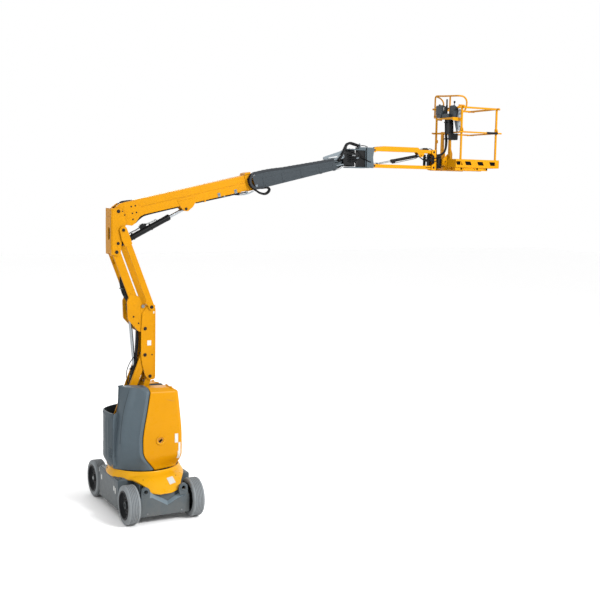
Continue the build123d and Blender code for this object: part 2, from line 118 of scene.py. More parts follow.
def mixc(t, fac, a, b, mode="MIX"):
    m = t.nodes.new("ShaderNodeMix")
    m.data_type = "RGBA"
    m.blend_type = mode
    for sock, v in ((m.inputs[0], fac), (m.inputs[6], a), (m.inputs[7], b)):
        if hasattr(v, "is_output"):
            t.links.new(v, sock)
        else:
            sock.default_value = v
    return m.outputs[2]


def finish_mat(name, col, rough=0.38, rvar=0.12, metal=0.0, coat=0.0, spec=0.5, grain=0.0, grain_scale=300, edge=None, edge_amt=0.5,
               dirt=None, dirt_amt=0.25, dirt_scale=3.0, bottom_tint=0.0, cvar=0.06, streak=0.0):
    m, t, b = new_mat(name)
    tc = t.nodes.new("ShaderNodeTexCoord")
    vec = tc.outputs["Object"]
    big = noise_tex(t, 2.3, 5, 0.6, vec)
    dark = tuple(c * (1 - cvar) for c in col[:3]) + (1,)
    lite = tuple(min(1, c * (1 + cvar)) for c in col[:3]) + (1,)
    r = ramp(t, 0.3, 0.7, dark, lite)
    t.links.new(big.outputs["Fac"], r.inputs[0])
    c = r.outputs[0]
    if dirt is not None:
        dn = noise_tex(t, dirt_scale, 8, 0.7, vec)
        dr = ramp(t, 0.48, 0.78, (0, 0, 0, 1), (dirt_amt,) * 3 + (1,))
        t.links.new(dn.outputs["Fac"], dr.inputs[0])
        c = mixc(t, dr.outputs[0], c, dirt)
    # tinted towards dark brown-grey towards the bottom of each part (z 0.75 m down to 0.05 m), broken up by noise
    if bottom_tint > 0:
        sx = t.nodes.new("ShaderNodeSeparateXYZ")
        t.links.new(vec, sx.inputs[0])
        mr = t.nodes.new("ShaderNodeMapRange")
        mr.inputs["From Min"].default_value = 0.75
        mr.inputs["From Max"].default_value = 0.05
        t.links.new(sx.outputs["Z"], mr.inputs["Value"])
        dn2 = noise_tex(t, 9.0, 8, 0.7, vec)
        mm = t.nodes.new("ShaderNodeMath")
        mm.operation = "MULTIPLY"
        t.links.new(mr.outputs[0], mm.inputs[0])
        t.links.new(dn2.outputs["Fac"], mm.inputs[1])
        m2 = t.nodes.new("ShaderNodeMath")
        m2.operation = "MULTIPLY"
        m2.inputs[1].default_value = bottom_tint
        t.links.new(mm.outputs[0], m2.inputs[0])
        c = mixc(t, m2.outputs[0], c, (0.16, 0.14, 0.115, 1))
    # painted edge highlight and edge wear: a bevel mask broken by noise mixes the edge colour onto edges
    if edge is not None:
        bv = t.nodes.new("ShaderNodeBevel")
        bv.samples = 4
        bv.inputs["Radius"].default_value = 0.006
        ge = t.nodes.new("ShaderNodeNewGeometry")
        dp = t.nodes.new("ShaderNodeVectorMath")
        dp.operation = "DOT_PRODUCT"
        t.links.new(bv.outputs[0], dp.inputs[0])
        t.links.new(ge.outputs["Normal"], dp.inputs[1])
        er = ramp(t, 0.90, 0.985, (1, 1, 1, 1), (0, 0, 0, 1))
        t.links.new(dp.outputs["Value"], er.inputs[0])
        en = noise_tex(t, 26.0, 6, 0.7, vec)
        enr = ramp(t, 0.46, 0.66, (0, 0, 0, 1), (edge_amt,) * 3 + (1,))
        t.links.new(en.outputs["Fac"], enr.inputs[0])
        em = t.nodes.new("ShaderNodeMath")
        em.operation = "MULTIPLY"
        t.links.new(er.outputs[0], em.inputs[0])
        t.links.new(enr.outputs[0], em.inputs[1])
        c = mixc(t, em.outputs[0], c, edge)
    t.links.new(c, b.inputs["Base Color"])
    rn = noise_tex(t, 14.0, 6, 0.65, vec)
    rr = ramp(t, 0.25, 0.75, (max(rough - rvar, 0.03),) * 3 + (1,), (min(rough + rvar, 1),) * 3 + (1,))
    t.links.new(rn.outputs["Fac"], rr.inputs[0])
    t.links.new(rr.outputs[0], b.inputs["Roughness"])
    b.inputs["Metallic"].default_value = metal
    b.inputs["Coat Weight"].default_value = coat
    b.inputs["Coat Roughness"].default_value = 0.12
    b.inputs["Specular IOR Level"].default_value = spec
    if grain > 0:
        gn = noise_tex(t, grain_scale, 3, 0.5, vec)
        bp = t.nodes.new("ShaderNodeBump")
        bp.inputs["Strength"].default_value = grain
        bp.inputs["Distance"].default_value = 0.001
        t.links.new(gn.outputs["Fac"], bp.inputs["Height"])
        t.links.new(bp.outputs[0], b.inputs["Normal"])
    return m


YEL = finish_mat("paint_yellow", lin("B47A03"), 0.34, 0.08, coat=0.02, spec=0.08, grain=0.12, grain_scale=420, edge=lin("8A5A10"), edge_amt=0.22,
                 dirt=lin("9C6C16"), dirt_amt=0.22, dirt_scale=5.0, cvar=0.04)
YEL_D = finish_mat("paint_yellow_shell", lin("B67C03"), 0.30, 0.07, coat=0.02, spec=0.08, grain=0.10, grain_scale=500, dirt=lin("AE7610"), dirt_amt=0.2, dirt_scale=3.0, cvar=0.03)
SLATE = finish_mat("paint_slate", lin("434D53"), 0.42, 0.09, coat=0.05, spec=0.15, grain=0.18, grain_scale=380, edge=lin("747F85"), edge_amt=0.5,
                   dirt=lin("575955"), dirt_amt=0.35, dirt_scale=4.0, bottom_tint=0.55, cvar=0.06)
SLATE_S = finish_mat("moulded_slate", lin("4B565D"), 0.46, 0.08, spec=0.15, grain=0.30, grain_scale=650, dirt=lin("56626A"), dirt_amt=0.3, dirt_scale=3.0, cvar=0.05)
SLATE_D = finish_mat("moulded_slate_dark", lin("262D32"), 0.5, 0.08, spec=0.22, grain=0.3, grain_scale=650, dirt=lin("343C41"), dirt_amt=0.3, cvar=0.06)
BLACK = finish_mat("paint_black", lin("08090B"), 0.38, 0.1, coat=0.03, spec=0.14, grain=0.12, grain_scale=350, edge=lin("3A3B3C"), edge_amt=0.35, dirt=lin("121212"),
                   dirt_amt=0.3, bottom_tint=0.05, cvar=0.15)
RUBBER = finish_mat("hose_rubber", lin("090A0C"), 0.55, 0.1, spec=0.15, grain=0.3, grain_scale=700, dirt=lin("141414"), dirt_amt=0.3, cvar=0.15)
CHAIN = finish_mat("carrier_plastic", lin("181D22"), 0.5, 0.1, spec=0.22, grain=0.3, grain_scale=500, dirt=lin("272D31"), dirt_amt=0.35, cvar=0.08)
TYRE = finish_mat("tyre_grey", lin("71777B"), 0.78, 0.1, grain=0.5, grain_scale=160, dirt=lin("585854"), dirt_amt=0.5, dirt_scale=12.0, bottom_tint=0.35, cvar=0.06)
CHROME = finish_mat("rod_chrome", lin("9A9FA3"), 0.2, 0.06, metal=1.0, cvar=0.03)
STEEL = finish_mat("zinc_steel", lin("84888A"), 0.33, 0.1, metal=0.9, grain=0.1, cvar=0.08, dirt=lin("706A60"), dirt_amt=0.3, dirt_scale=30)
BOLT = finish_mat("dark_bolt", lin("1C1712"), 0.5, 0.12, spec=0.15, cvar=0.15)
# painted shade: near-black matte sheets set in slots, openings and hollows
PAINTED_SHADE = finish_mat("painted_shade_black", lin("08090A"), 0.8, 0.1, spec=0.04, cvar=0.1)
CAST = finish_mat("cast_iron_paint", lin("2C2F31"), 0.7, 0.12, grain=0.8, grain_scale=120, cvar=0.15, dirt=lin("3C3A36"), dirt_amt=0.4)
GALV = finish_mat("bracket_silver", lin("5E676D"), 0.36, 0.1, metal=0.1, grain=0.08, edge=lin("949CA1"), edge_amt=0.4, cvar=0.06)
LABEL = finish_mat("blank_label", lin("B9BAB7"), 0.4, 0.08, coat=0.2, cvar=0.02, dirt=lin("9A9B97"), dirt_amt=0.25, dirt_scale=60)
# painted shade: darker copy of the yellow paint
YEL_SHADE = finish_mat("yellow_painted_shade", lin("9A6208"), 0.36, 0.07, coat=0.2, cvar=0.04)
# painted highlight: lighter, glossier copy of the yellow paint
YEL_LIT = finish_mat("yellow_painted_highlight", lin("C8900E"), 0.3, 0.07, coat=0.05, spec=0.15, cvar=0.03)
GROOVE_SHADE = finish_mat("tyre_groove_painted_shade", lin("4E5255"), 0.9, 0.05, spec=0.1, cvar=0.05)
RIM = finish_mat("rim_black", lin("0D1013"), 0.45, 0.1, spec=0.15, grain=0.2, cvar=0.08, dirt=lin("15171B"), dirt_amt=0.25)
# painted highlight: lighter, glossier copy of the slate paint
SLATE_LIT = finish_mat("slate_painted_highlight", lin("66737B"), 0.4, 0.08, spec=0.3, cvar=0.05)
# painted shade: darker copy of the moulded slate
SLATE_SHADED = finish_mat("moulded_slate_painted_shade", lin("3E484E"), 0.46, 0.08, spec=0.15, grain=0.3, grain_scale=650, cvar=0.05)
PALE = finish_mat("document_panel", lin("737C82"), 0.45, 0.08, grain=0.2, cvar=0.05)

# floor
fm, ft, fb = new_mat("floor_pale")
fb.inputs["Base Color"].default_value = (0.985, 0.985, 0.985, 1)
fb.inputs["Roughness"].default_value = 0.75
fn = noise_tex(ft, 0.8, 4)
fr = ramp(ft, 0.3, 0.7, (0.98, 0.98, 0.98, 1), (0.99, 0.99, 0.99, 1))
ft.links.new(fn.outputs["Fac"], fr.inputs[0])
ft.links.new(fr.outputs[0], fb.inputs["Base Color"])
fme = bpy.data.meshes.new("floor")
fme.from_pydata([(-60, -60, 0), (60, -60, 0), (60, 60, 0), (-60, 60, 0)], [], [(0, 1, 2, 3)])
fme.materials.append(fm)
floor = bpy.data.objects.new("floor", fme)
bpy.context.scene.collection.objects.link(floor)

# ------------------------------------------------------------------ mesh helpers (millimetres in, metres out)
S = 0.001


def arcp(c, r, a0, a1, n):
    return [(c[0] + r * math.cos(math.radians(a0 + (a1 - a0) * i / n)), c[1] + r * math.sin(math.radians(a0 + (a1 - a0) * i / n))) for i in range(n + 1)]


def lerp(a, b, t):
    return a + (b - a) * t


def sstep(t):
    t = min(1.0, max(0.0, t))
    return t * t * (3 - 2 * t)


def interp(tab, x):
    """smooth interpolation in a table of (x, y)"""
    if x <= tab[0][0]:
        return tab[0][1]
    for i in range(len(tab) - 1):
        (a, p), (b, q) = tab[i], tab[i + 1]
        if x <= b:
            t = (x - a) / (b - a)
            m0 = (q - tab[i - 1][1]) / (b - tab[i - 1][0]) if i > 0 else (q - p) / (b - a)
            m1 = (tab[i + 2][1] - p) / (tab[i + 2][0] - a) if i + 2 < len(tab) else (q - p) / (b - a)
            h = b - a
            t2, t3 = t * t, t * t * t
            return (2 * t3 - 3 * t2 + 1) * p + (t3 - 2 * t2 + t) * h * m0 + (-2 * t3 + 3 * t2) * q + (t3 - t2) * h * m1
    return tab[-1][1]


def roundp(pts, r, n=4):
    """polygon with its corners rounded; r is one radius or a dict of index to radius"""
    out = []
    k = len(pts)
    for i in range(k):
        rad = r.get(i, 0) if isinstance(r, dict) else r
        p0, p1, p2 = Vector(pts[i - 1]), Vector(pts[i]), Vector(pts[(i + 1) % k])
        if rad <= 0:
            out.append(tuple(p1))
            continue
        d0, d1 = (p0 - p1), (p2 - p1)
        l0, l1 = d0.length, d1.length
        d0.normalize(), d1.normalize()
        ang = d0.angle(d1)
        if ang > math.radians(176):
            out.append(tuple(p1))
            continue
        cut = min(rad / math.tan(ang / 2), l0 * 0.48, l1 * 0.48)
        a, b = p1 + d0 * cut, p1 + d1 * cut
        for j in range(n + 1):
            t = j / n
            q = a * (1 - t) ** 2 + p1 * 2 * t * (1 - t) + b * t * t
            out.append(tuple(q))
    return out


class P:
    """one visible piece: closed sub-solids with rounded edges, gathered in one mesh"""

    def __init__(self, name, body):
        self.name, self.body = name, body
        self.me = bmesh.new()
        self.mats = []

    def _mi(self, mat):
        if mat not in self.mats:
            self.mats.append(mat)
        return self.mats.index(mat)

    def add(self, bm, mat, bevel=0.0, seg=2, angle=28):
        bmesh.ops.recalc_face_normals(bm, faces=bm.faces[:])
        if bevel > 0:
            es = [e for e in bm.edges if len(e.link_faces) == 2 and e.calc_face_angle(0) > math.radians(angle)]
            if es:
                bmesh.ops.bevel(bm, geom=es, offset=bevel * S, offset_type="OFFSET", segments=seg, profile=0.6, affect="EDGES", clamp_overlap=True)
        mi = self._mi(mat)
        for f in bm.faces:
            f.material_index = mi
            f.smooth = True
        tmp = bpy.data.meshes.new("tmp")
        bm.to_mesh(tmp)
        bm.free()
        self.me.from_mesh(tmp)
        bpy.data.meshes.remove(tmp)
        return self

    def prism(self, pts, plane, a, b, mat, bevel=3.0, holes=(), seg=2):
        bm = bmesh.new()

        def at(p, h):
            x, y = p
            v = {"xz": (x, h, y), "xy": (x, y, h), "yz": (h, x, y)}[plane]
            return Vector(v) * S
        loops = [list(pts)] + [list(h) for h in holes]
        lo = [[bm.verts.new(at(p, a)) for p in l] for l in loops]
        hi = [[bm.verts.new(at(p, b)) for p in l] for l in loops]
        for L, H in zip(lo, hi):
            for i in range(len(L)):
                j = (i + 1) % len(L)
                bm.faces.new((L[i], L[j], H[j], H[i]))
        if holes:
            flat = [v for l in loops for v in l]
            tris = tessellate_polygon([[Vector((p[0], p[1], 0)) for p in l] for l in loops])
            fl, fh = [v for l in lo for v in l], [v for l in hi for v in l]
            for t in tris:
                try:
                    bm.faces.new([fl[i] for i in t])
                    bm.faces.new([fh[i] for i in t])
                except ValueError:
                    pass
        else:
            bm.faces.new(lo[0])
            bm.faces.new(hi[0])
        return self.add(bm, mat, bevel, seg)

    def box(self, x0, x1, y0, y1, z0, z1, mat, bevel=3.0):
        return self.prism([(x0, y0), (x1, y0), (x1, y1), (x0, y1)], "xy", z0, z1, mat, bevel)

    def slab(self, c, ax, ay, az, lx, ly, lz, mat, bevel=3.0):
        """a box centred on c with its own axes"""
        bm = bmesh.new()
        ax, ay, az = [Vector(v).normalized() for v in (ax, ay, az)]
        vs = [bm.verts.new((Vector(c) + ax * lx * i / 2 + ay * ly * j / 2 + az * lz * k / 2) * S) for i in (-1, 1) for j in (-1, 1) for k in (-1, 1)]
        for f in ((0, 1, 3, 2), (4, 6, 7, 5), (0, 4, 5, 1), (2, 3, 7, 6), (0, 2, 6, 4), (1, 5, 7, 3)):
            bm.faces.new([vs[i] for i in f])
        return self.add(bm, mat, bevel)

    def lathe(self, prof, origin, axis, mat, n=48, bevel=0.0, closed=True):
        """profile of (radius, height) turned about an axis; a radius of 0 closes an end"""
        bm = bmesh.new()
        ax = Vector(axis).normalized()
        e1 = ax.orthogonal().normalized()
        e2 = ax.cross(e1)
        rows = []
        for r, h in prof:
            if r < 1e-6:
                rows.append([bm.verts.new((Vector(origin) + ax * h) * S)])
            else:
                rows.append([bm.verts.new((Vector(origin) + ax * h + (e1 * math.cos(2 * math.pi * i / n) + e2 * math.sin(2 * math.pi * i / n)) * r) * S) for i in range(n)])
        pairs = list(zip(rows[:-1], rows[1:]))
        if closed and len(rows[0]) > 1 and len(rows[-1]) > 1:
            pairs.append((rows[-1], rows[0]))
        for A, B in pairs:
            for i in range(n):
                j = (i + 1) % n
                if len(A) == 1 and len(B) == 1:
                    continue
                if len(A) == 1:
                    bm.faces.new((A[0], B[i], B[j]))
                elif len(B) == 1:
                    bm.faces.new((A[i], A[j], B[0]))
                else:
                    bm.faces.new((A[i], A[j], B[j], B[i]))
        return self.add(bm, mat, bevel)

    def cyl(self, p, q, r, mat, n=32, c=1.5, r2=None):
        """a cylinder or cone from p to q with chamfered rims"""
        p, q = Vector(p), Vector(q)
        L = (q - p).length
        r2 = r if r2 is None else r2
        c = min(c, L * 0.3, r * 0.3)
        return self.lathe([(0, 0), (r - c, 0), (r, c), (r2, L - c), (r2 - c, L), (0, L)], p, q - p, mat, n)

    def ycyl(self, p, r, y0, y1, mat, n=32, c=1.5):
        return self.cyl((p[0], y0, p[1]), (p[0], y1, p[1]), r, mat, n, c)

    def hexbolt(self, p, axis, r=11, h=7, mat=None):
        mat, r = mat or BOLT, r * 0.8
        ax = Vector(axis).normalized()
        p = Vector(p)
        self.cyl(p - ax * 1, p + ax * 2.5, r * 1.35, mat, 20, 0.6)
        return self.lathe([(0, 0), (r * 0.98, 0), (r, 1), (r, h - 1.5), (r * 0.85, h), (0, h)], p, ax, mat, 6)

    def pin(self, p, y, sy, r=19, mat=None):
        """a pin end standing out of a plate at |y|: collar, head and a keeper"""
        mat = mat or BOLT
        a = Vector((p[0], sy * y, p[1]))
        d = Vector((0, sy, 0))
        self.lathe([(0, 0), (r * 1.45, 0), (r * 1.45, 3), (r * 1.3, 4.5), (r, 4.5), (r, 9), (r * 0.85, 11), (0, 11)], a - d * 0.5, d, mat, 28)
        return self

    def tube(self, pts, r, mat, n=14, smooth=10, cap=True):
        """a round tube through points; its corners are rounded by a smooth curve"""
        P_ = [Vector(p) for p in pts]
        path = catmull(P_, smooth) if smooth else P_
        bm = bmesh.new()
        rows = []
        t0 = (path[1] - path[0]).normalized()
        e = t0.orthogonal().normalized()
        for i, c in enumerate(path):
            t = (path[min(i + 1, len(path) - 1)] - path[max(i - 1, 0)]).normalized()
            e = (e - t * e.dot(t)).normalized()
            f = t.cross(e)
            rows.append([bm.verts.new((c + (e * math.cos(2 * math.pi * k / n) + f * math.sin(2 * math.pi * k / n)) * r) * S) for k in range(n)])
        for A, B in zip(rows[:-1], rows[1:]):
            for i in range(n):
                j = (i + 1) % n
                bm.faces.new((A[i], A[j], B[j], B[i]))
        if cap:
            bm.faces.new(rows[0])
            bm.faces.new(rows[-1])
        return self.add(bm, mat, 0)

    def rail(self, pts, r, mat, rad=60, n=16):
        """a bent metal tube: straight runs and round bends"""
        out = [Vector(pts[0])]
        for i in range(1, len(pts) - 1):
            a, b, c = Vector(pts[i - 1]), Vector(pts[i]), Vector(pts[i + 1])
            d0, d1 = (a - b), (c - b)
            cut = min(rad, d0.length * 0.49, d1.length * 0.49)
            d0.normalize(), d1.normalize()
            p, q = b + d0 * cut, b + d1 * cut
            for j in range(9):
                t = j / 8
                out.append(p * (1 - t) ** 2 + b * 2 * t * (1 - t) + q * t * t)
        out.append(Vector(pts[-1]))
        return self.tube(out, r, mat, n, 0)

    def link(self, p, q, w, y0, y1, mat, e=None, e2=None, bevel=3.0):
        """a flat bar with round ends between two pins"""
        a = math.degrees(math.atan2(q[1] - p[1], q[0] - p[0]))
        e = e or w / 2
        e2 = e2 or e
        k1 = math.degrees(math.asin(min(1, w / 2 / e)))
        k2 = math.degrees(math.asin(min(1, w / 2 / e2)))
        pts = arcp(p, e, a + k1, a + 360 - k1, 18) + arcp(q, e2, a - 180 + k2, a + 180 - k2, 18)
        return self.prism(pts, "xz", y0, y1, mat, bevel)

    def grid(self, rows, mat, closed=False):
        """a surface through rows of points in millimetres"""
        bm = bmesh.new()
        R = [[bm.verts.new(Vector(p) * S) for p in r] for r in rows]
        for A, B in zip(R[:-1], R[1:]):
            n = len(A)
            for i in range(n if closed else n - 1):
                j = (i + 1) % n
                bm.faces.new((A[i], A[j], B[j], B[i]))
        bmesh.ops.remove_doubles(bm, verts=bm.verts[:], dist=0.0002)
        return self.add(bm, mat, 0)

    def loft(self, loops, mat, bevel=0.0, cap=True):
        """closed sections joined one to the next, capped at both ends"""
        bm = bmesh.new()
        R = [[bm.verts.new(Vector(q) * S) for q in l] for l in loops]
        n = len(R[0])
        for A, B in zip(R[:-1], R[1:]):
            for i in range(n):
                j = (i + 1) % n
                bm.faces.new((A[i], A[j], B[j], B[i]))
        if cap:
            bm.faces.new(R[0])
            bm.faces.new(R[-1])
        return self.add(bm, mat, bevel)

    def done(self, *nodes, slot=None, sharp=32, solid=0.0, weighted=True, out=None):
        me = bpy.data.meshes.new(self.name)
        if solid:
            bmesh.ops.remove_doubles(self.me, verts=self.me.verts[:], dist=0.0001)
        if out is not None:
            ref = Vector(out) * S
            if sum((f.calc_center_median() - ref).dot(f.normal) * f.calc_area() for f in self.me.faces) < 0:
                bmesh.ops.reverse_faces(self.me, faces=self.me.faces[:])
        self.me.to_mesh(me)
        self.me.free()
        for m in self.mats:
            me.materials.append(m)
        me.set_sharp_from_angle(angle=math.radians(sharp))
        o = bpy.data.objects.new(self.name, me)
        bpy.context.scene.collection.objects.link(o)
        if solid:
            md = o.modifiers.new("shell", "SOLIDIFY")
            md.thickness = abs(solid) * S
            md.offset = -1 if solid > 0 else 1
        if weighted:
            md = o.modifiers.new("normals", "WEIGHTED_NORMAL")
            md.keep_sharp = True
        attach(o, self.body)
        if nodes:
            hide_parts(*nodes)
        return o


def catmull(pts, n):
    if len(pts) < 3:
        return [pts[0].lerp(pts[-1], i / n) for i in range(n + 1)]
    out = []
    Q = [pts[0] * 2 - pts[1]] + list(pts) + [pts[-1] * 2 - pts[-2]]
    for i in range(1, len(Q) - 2):
        p0, p1, p2, p3 = Q[i - 1:i + 3]
        for j in range(n):
            t = j / n
            out.append(0.5 * ((2 * p1) + (p2 - p0) * t + (2 * p0 - 5 * p1 + 4 * p2 - p3) * t * t + (3 * p1 - p0 - 3 * p2 + p3) * t ** 3))
    out.append(pts[-1])
    return out


def paint_node(name, mat):
    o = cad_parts[name]
    o.data.materials.clear()
    o.data.materials.append(mat)



# ------------------------------------------------------------------ dimensions shared by the pieces (mm)
WY, KX, BEL = 802.5, 487.0, math.radians(12.7)
_sn, _cs = math.sin(math.radians(20.8)), math.cos(math.radians(20.8))
PB2, PB4, PB1, PTB = (-31.0, 2430.0), (50.0, 2090.0), (-28.0, 2840.0), (69.0, 3174.0)
PLA, PLT = (PB2[0] - 1340 * _sn, PB2[1] - 1340 * _cs), (PB4[0] - 1340 * _sn, PB4[1] - 1340 * _cs)
PUA, PTT = (PB1[0] - 1271 * _sn, PB1[1] + 1271 * _cs), (PTB[0] - 1271 * _sn, PTB[1] + 1271 * _cs)
PRC_TOP, PRC_BOT = (-228.0, 3026.0), (-90.0, 1420.0)
PBR, PLC_BOT, PLC_TOP, PLV = (-449.0, 4644.0), (-440.0, 4118.0), (658.0, 4687.0), (3480.0, 5470.0)
lvu = (PLV[0] - PBR[0]) * math.cos(BEL) + (PLV[1] - PBR[1]) * math.sin(BEL)
lvv = -(PLV[0] - PBR[0]) * math.sin(BEL) + (PLV[1] - PBR[1]) * math.cos(BEL)
JIB_UL, JIB_LL, JIB_FOOT, JIB_EYE, ROTX = (4125.0, 5717.0), (4125.0, 5446.0), (5090.0, 5652.0), (4190.0, 5480.0), 5485.0
JIB_UR, JIB_LR = (5350.0, 5717.0), (5350.0, 5446.0)

# ================================================================== chassis
LEFT = -1
p = P("chassis_hull", "chassis")
hull = roundp([(-474, 118), (474, 112), (474, 585), (-474, 585)], {0: 40, 1: 30, 2: 14, 3: 14}, 5)
p.prism(hull, "yz", -560, 560, SLATE, 4)
for sx in (-1, 1):
    xa, xb = sorted((sx * 558, sx * 578))
    p.prism(roundp([(-396, 128), (470, 118), (470, 578), (-396, 578)], {0: 10, 1: 26, 2: 12, 3: 6}, 4), "yz", xa, xb, SLATE, 4)
    p.prism(roundp([(-470, 150), (-402, 128), (-402, 578), (-470, 572)], {0: 18, 1: 5, 2: 5, 3: 14}, 4), "yz", xa, xb, SLATE, 4)
    p.prism(roundp([(-340, 520), (420, 520), (420, 556), (-340, 556)], 10, 3), "yz", *sorted((sx * 574, sx * 582)), SLATE, 3)
    for y, z in ((-436, 545), (-436, 190), (440, 545), (440, 165), (-60, 150), (-370, 150)):
        p.hexbolt((sx * 577, y, z), (sx, 0, 0), 8, 5, SLATE)
    # tie-down eye low on the side
    p.prism(roundp([(180, 128), (260, 128), (250, 96), (190, 96)], 10, 3), "yz", *sorted((sx * 540, sx * 556)), SLATE, 3, holes=[arcp((220, 113), 9, 0, 345, 15)])
# deck plate with a raised rim
p.prism(roundp([(-560, -470), (560, -470), (560, 470), (-560, 470)], 60, 6), "xy", 580, 590, SLATE, 3)
p.box(-520, -440, -440, -340, 588, 600, SLATE, 4)
p.box(440, 520, 340, 440, 588, 600, SLATE, 4)
for sx in (-1, 1):
    for sy in (-1, 1):
        p.hexbolt((sx * 510, sy * 430, 590 if sx != sy else 600), (0, 0, 1), 9, 6)
# belly: dark tray and rear service hatch
p.prism([(-420, 100), (420, 100), (420, 122), (-420, 122)], "yz", -500, 500, BLACK, 4)
for sx in (-1, 1):
    p.prism(roundp([(sx * 300, 470), (sx * 548, 470), (sx * 548, 560), (sx * 300, 560)], 6, 3), "xz", 470, 482, SLATE, 3)
p.done("chassis_frame", slot="slate")

p = P("chassis_labels", "chassis")
for y0, y1, z0, z1 in ((322, 372, 395, 470), (-312, -262, 380, 452), (-372, -335, 352, 440)):
    p.prism(roundp([(y0, z0), (y1, z0), (y1, z1), (y0, z1)], 4, 2), "yz", -580.6, -578, LABEL, 0.4)
for y0, y1, z0, z1 in ((462, 484, 490, 552),):
    p.prism(roundp([(y0, z0), (y1 - 8, z0), (y1 - 8, z1), (y0, z1)], 3, 2), "yz", -582.5, -577, LABEL, 0.8)
for y0, y1, z0, z1 in ((-120, -60, 380, 450), (300, 350, 400, 470)):
    p.prism(roundp([(y0, z0), (y1, z0), (y1, z1), (y0, z1)], 4, 2), "yz", 578, 580.6, LABEL, 0.4)
p.done()

p = P("ballast_block", "chassis")
p.prism(roundp([(-480, 150), (480, 150), (480, 440), (440, 470), (-440, 470), (-480, 440)], 12, 3), "xz", -400, 400, CAST, 6)
p.done("chassis_ballast")

p = P("slew_bearing", "chassis")
p.lathe([(332, 586), (428, 586), (432, 592), (432, 604), (424, 608), (424, 620), (336, 620), (332, 616)], (0, 0, 0), (0, 0, 1), STEEL, 96)
for i in range(24):
    a = 2 * math.pi * i / 24
    p.hexbolt((445 * math.cos(a) * 0.9, 445 * math.sin(a) * 0.9, 619), (0, 0, 1), 8, 2, BOLT)
p.done("slew_ring", slot="bearing")

# drive beam: lower nose plate, sloping V band, inner plate under the prow, lugs
p = P("drive_beam_nose", "chassis")
fo = [(-385, 120), (395, 120), (395, 382), (359, 384), (222, 344), (45, 252), (-150, 366), (-200, 397), (-385, 388)]
bo = [(-385, 120), (395, 120), (395, 440), (330, 436), (240, 404), (70, 306), (-120, 424), (-205, 474), (-385, 460)]
p.loft([[(x, -950, z) for x, z in fo], [(x, -944, z + 5) for x, z in fo], [(x, -882, z - 4) for x, z in bo], [(x, -872, z) for x, z in bo]], SLATE, 2.5)
# painted shade: a dark strip above the band, under the prow, stands for the shaded recess there
p.prism([(-214, 470), (-120, 420), (70, 300), (240, 398), (300, 430), (300, 452), (-214, 486)], "xz", -871, -862, SLATE_D, 2)
p.prism(roundp([(-196, 300), (196, 300), (180, 452), (-180, 452)], 8, 2), "xz", -874, -850, SLATE, 3)
p.prism(roundp([(-320, 296), (320, 296), (320, 545), (-320, 545)], 14, 3), "xz", -690, -474, SLATE, 5)
p.prism(roundp([(-200, 296), (200, 296), (200, 440), (-200, 440)], 14, 3), "xz", -852, -680, SLATE, 5)
p.prism(roundp([(-340, 140), (340, 140), (340, 310), (-340, 310)], 20, 3), "xz", -880, -470, SLATE, 5)
for sx in (-1, 1):
    ear = roundp([(sx * 240, 392), (sx * 370, 392)], 0, 1) + [(sx * LX, z) for LX, z in ((370, 480),)] + [(sx * (300 + 68 * math.cos(math.radians(a))), 500 + 68 * math.sin(math.radians(a))) for a in range(0, 181, 15)] + [(sx * 230, 470)]
    if sx < 0:
        ear = ear[::-1]
    p.prism(ear, "xz", -950, -906, SLATE, 4, holes=[arcp((sx * 300, 500), 30, 0, 352.5, 47)])
    p.lathe([(31, 0), (46, 0), (48, 2), (48, 6), (45, 9), (34, 9), (31, 6)], (sx * 300, -949, 500), (0, -1, 0), SLATE, 40)
    # gusset behind the ear and the side return
    p.prism([(-906, 372), (-760, 372), (-760, 470), (-860, 530), (-906, 540)], "yz", *sorted((sx * 262, sx * 278)), SLATE, 3)
    p.prism(roundp([(-950, 135), (-740, 150), (-740, 372), (-940, 380)], 12, 3), "yz", *sorted((sx * 366, sx * 385)), SLATE, 3)
    p.hexbolt((sx * 270, -950, 160), (0, -1, 0), 11, 7, STEEL)
F = [(359, 384), (222, 344), (45, 252), (-150, 366), (-200, 397), (-385, 388)]
B = [(330, 436), (240, 404), (70, 306), (-120, 424), (-205, 474), (-385, 460)]
# painted highlight: a lighter, glossier slate strip over the sloping V band stands for the light it catches
p.grid([[(x, -945, z + 7) for x, z in F], [(x, -881, z - 1) for x, z in B]], SLATE_LIT)
p.done("drive_beam", slot="slate")

p = P("drive_motor_pair", "chassis")
for sx in (-1, 1):
    o, ax = (sx * 341, -WY, 295), (sx, 0, 0)
    p.lathe([(0, 0), (118, 0), (118, 14), (104, 18), (100, 60), (84, 66), (84, 96), (98, 100), (102, 130), (102, 150), (88, 158), (88, 192), (0, 192)], o, ax, BLACK, 48)
    for i in range(10):
        a = 2 * math.pi * i / 10
        p.hexbolt((sx * 445, -WY + 112 * math.cos(a) * 0.82, 295 + 112 * math.sin(a) * 0.82), ax, 7, 8, BLACK)
    p.prism(roundp([(-WY - 150, 175), (-WY + 150, 175), (-WY + 150, 420), (-WY - 150, 420)], 50, 5), "yz", *sorted((sx * 338, sx * 360)), SLATE, 4)
p.done("drive_motors", slot="black_paint")

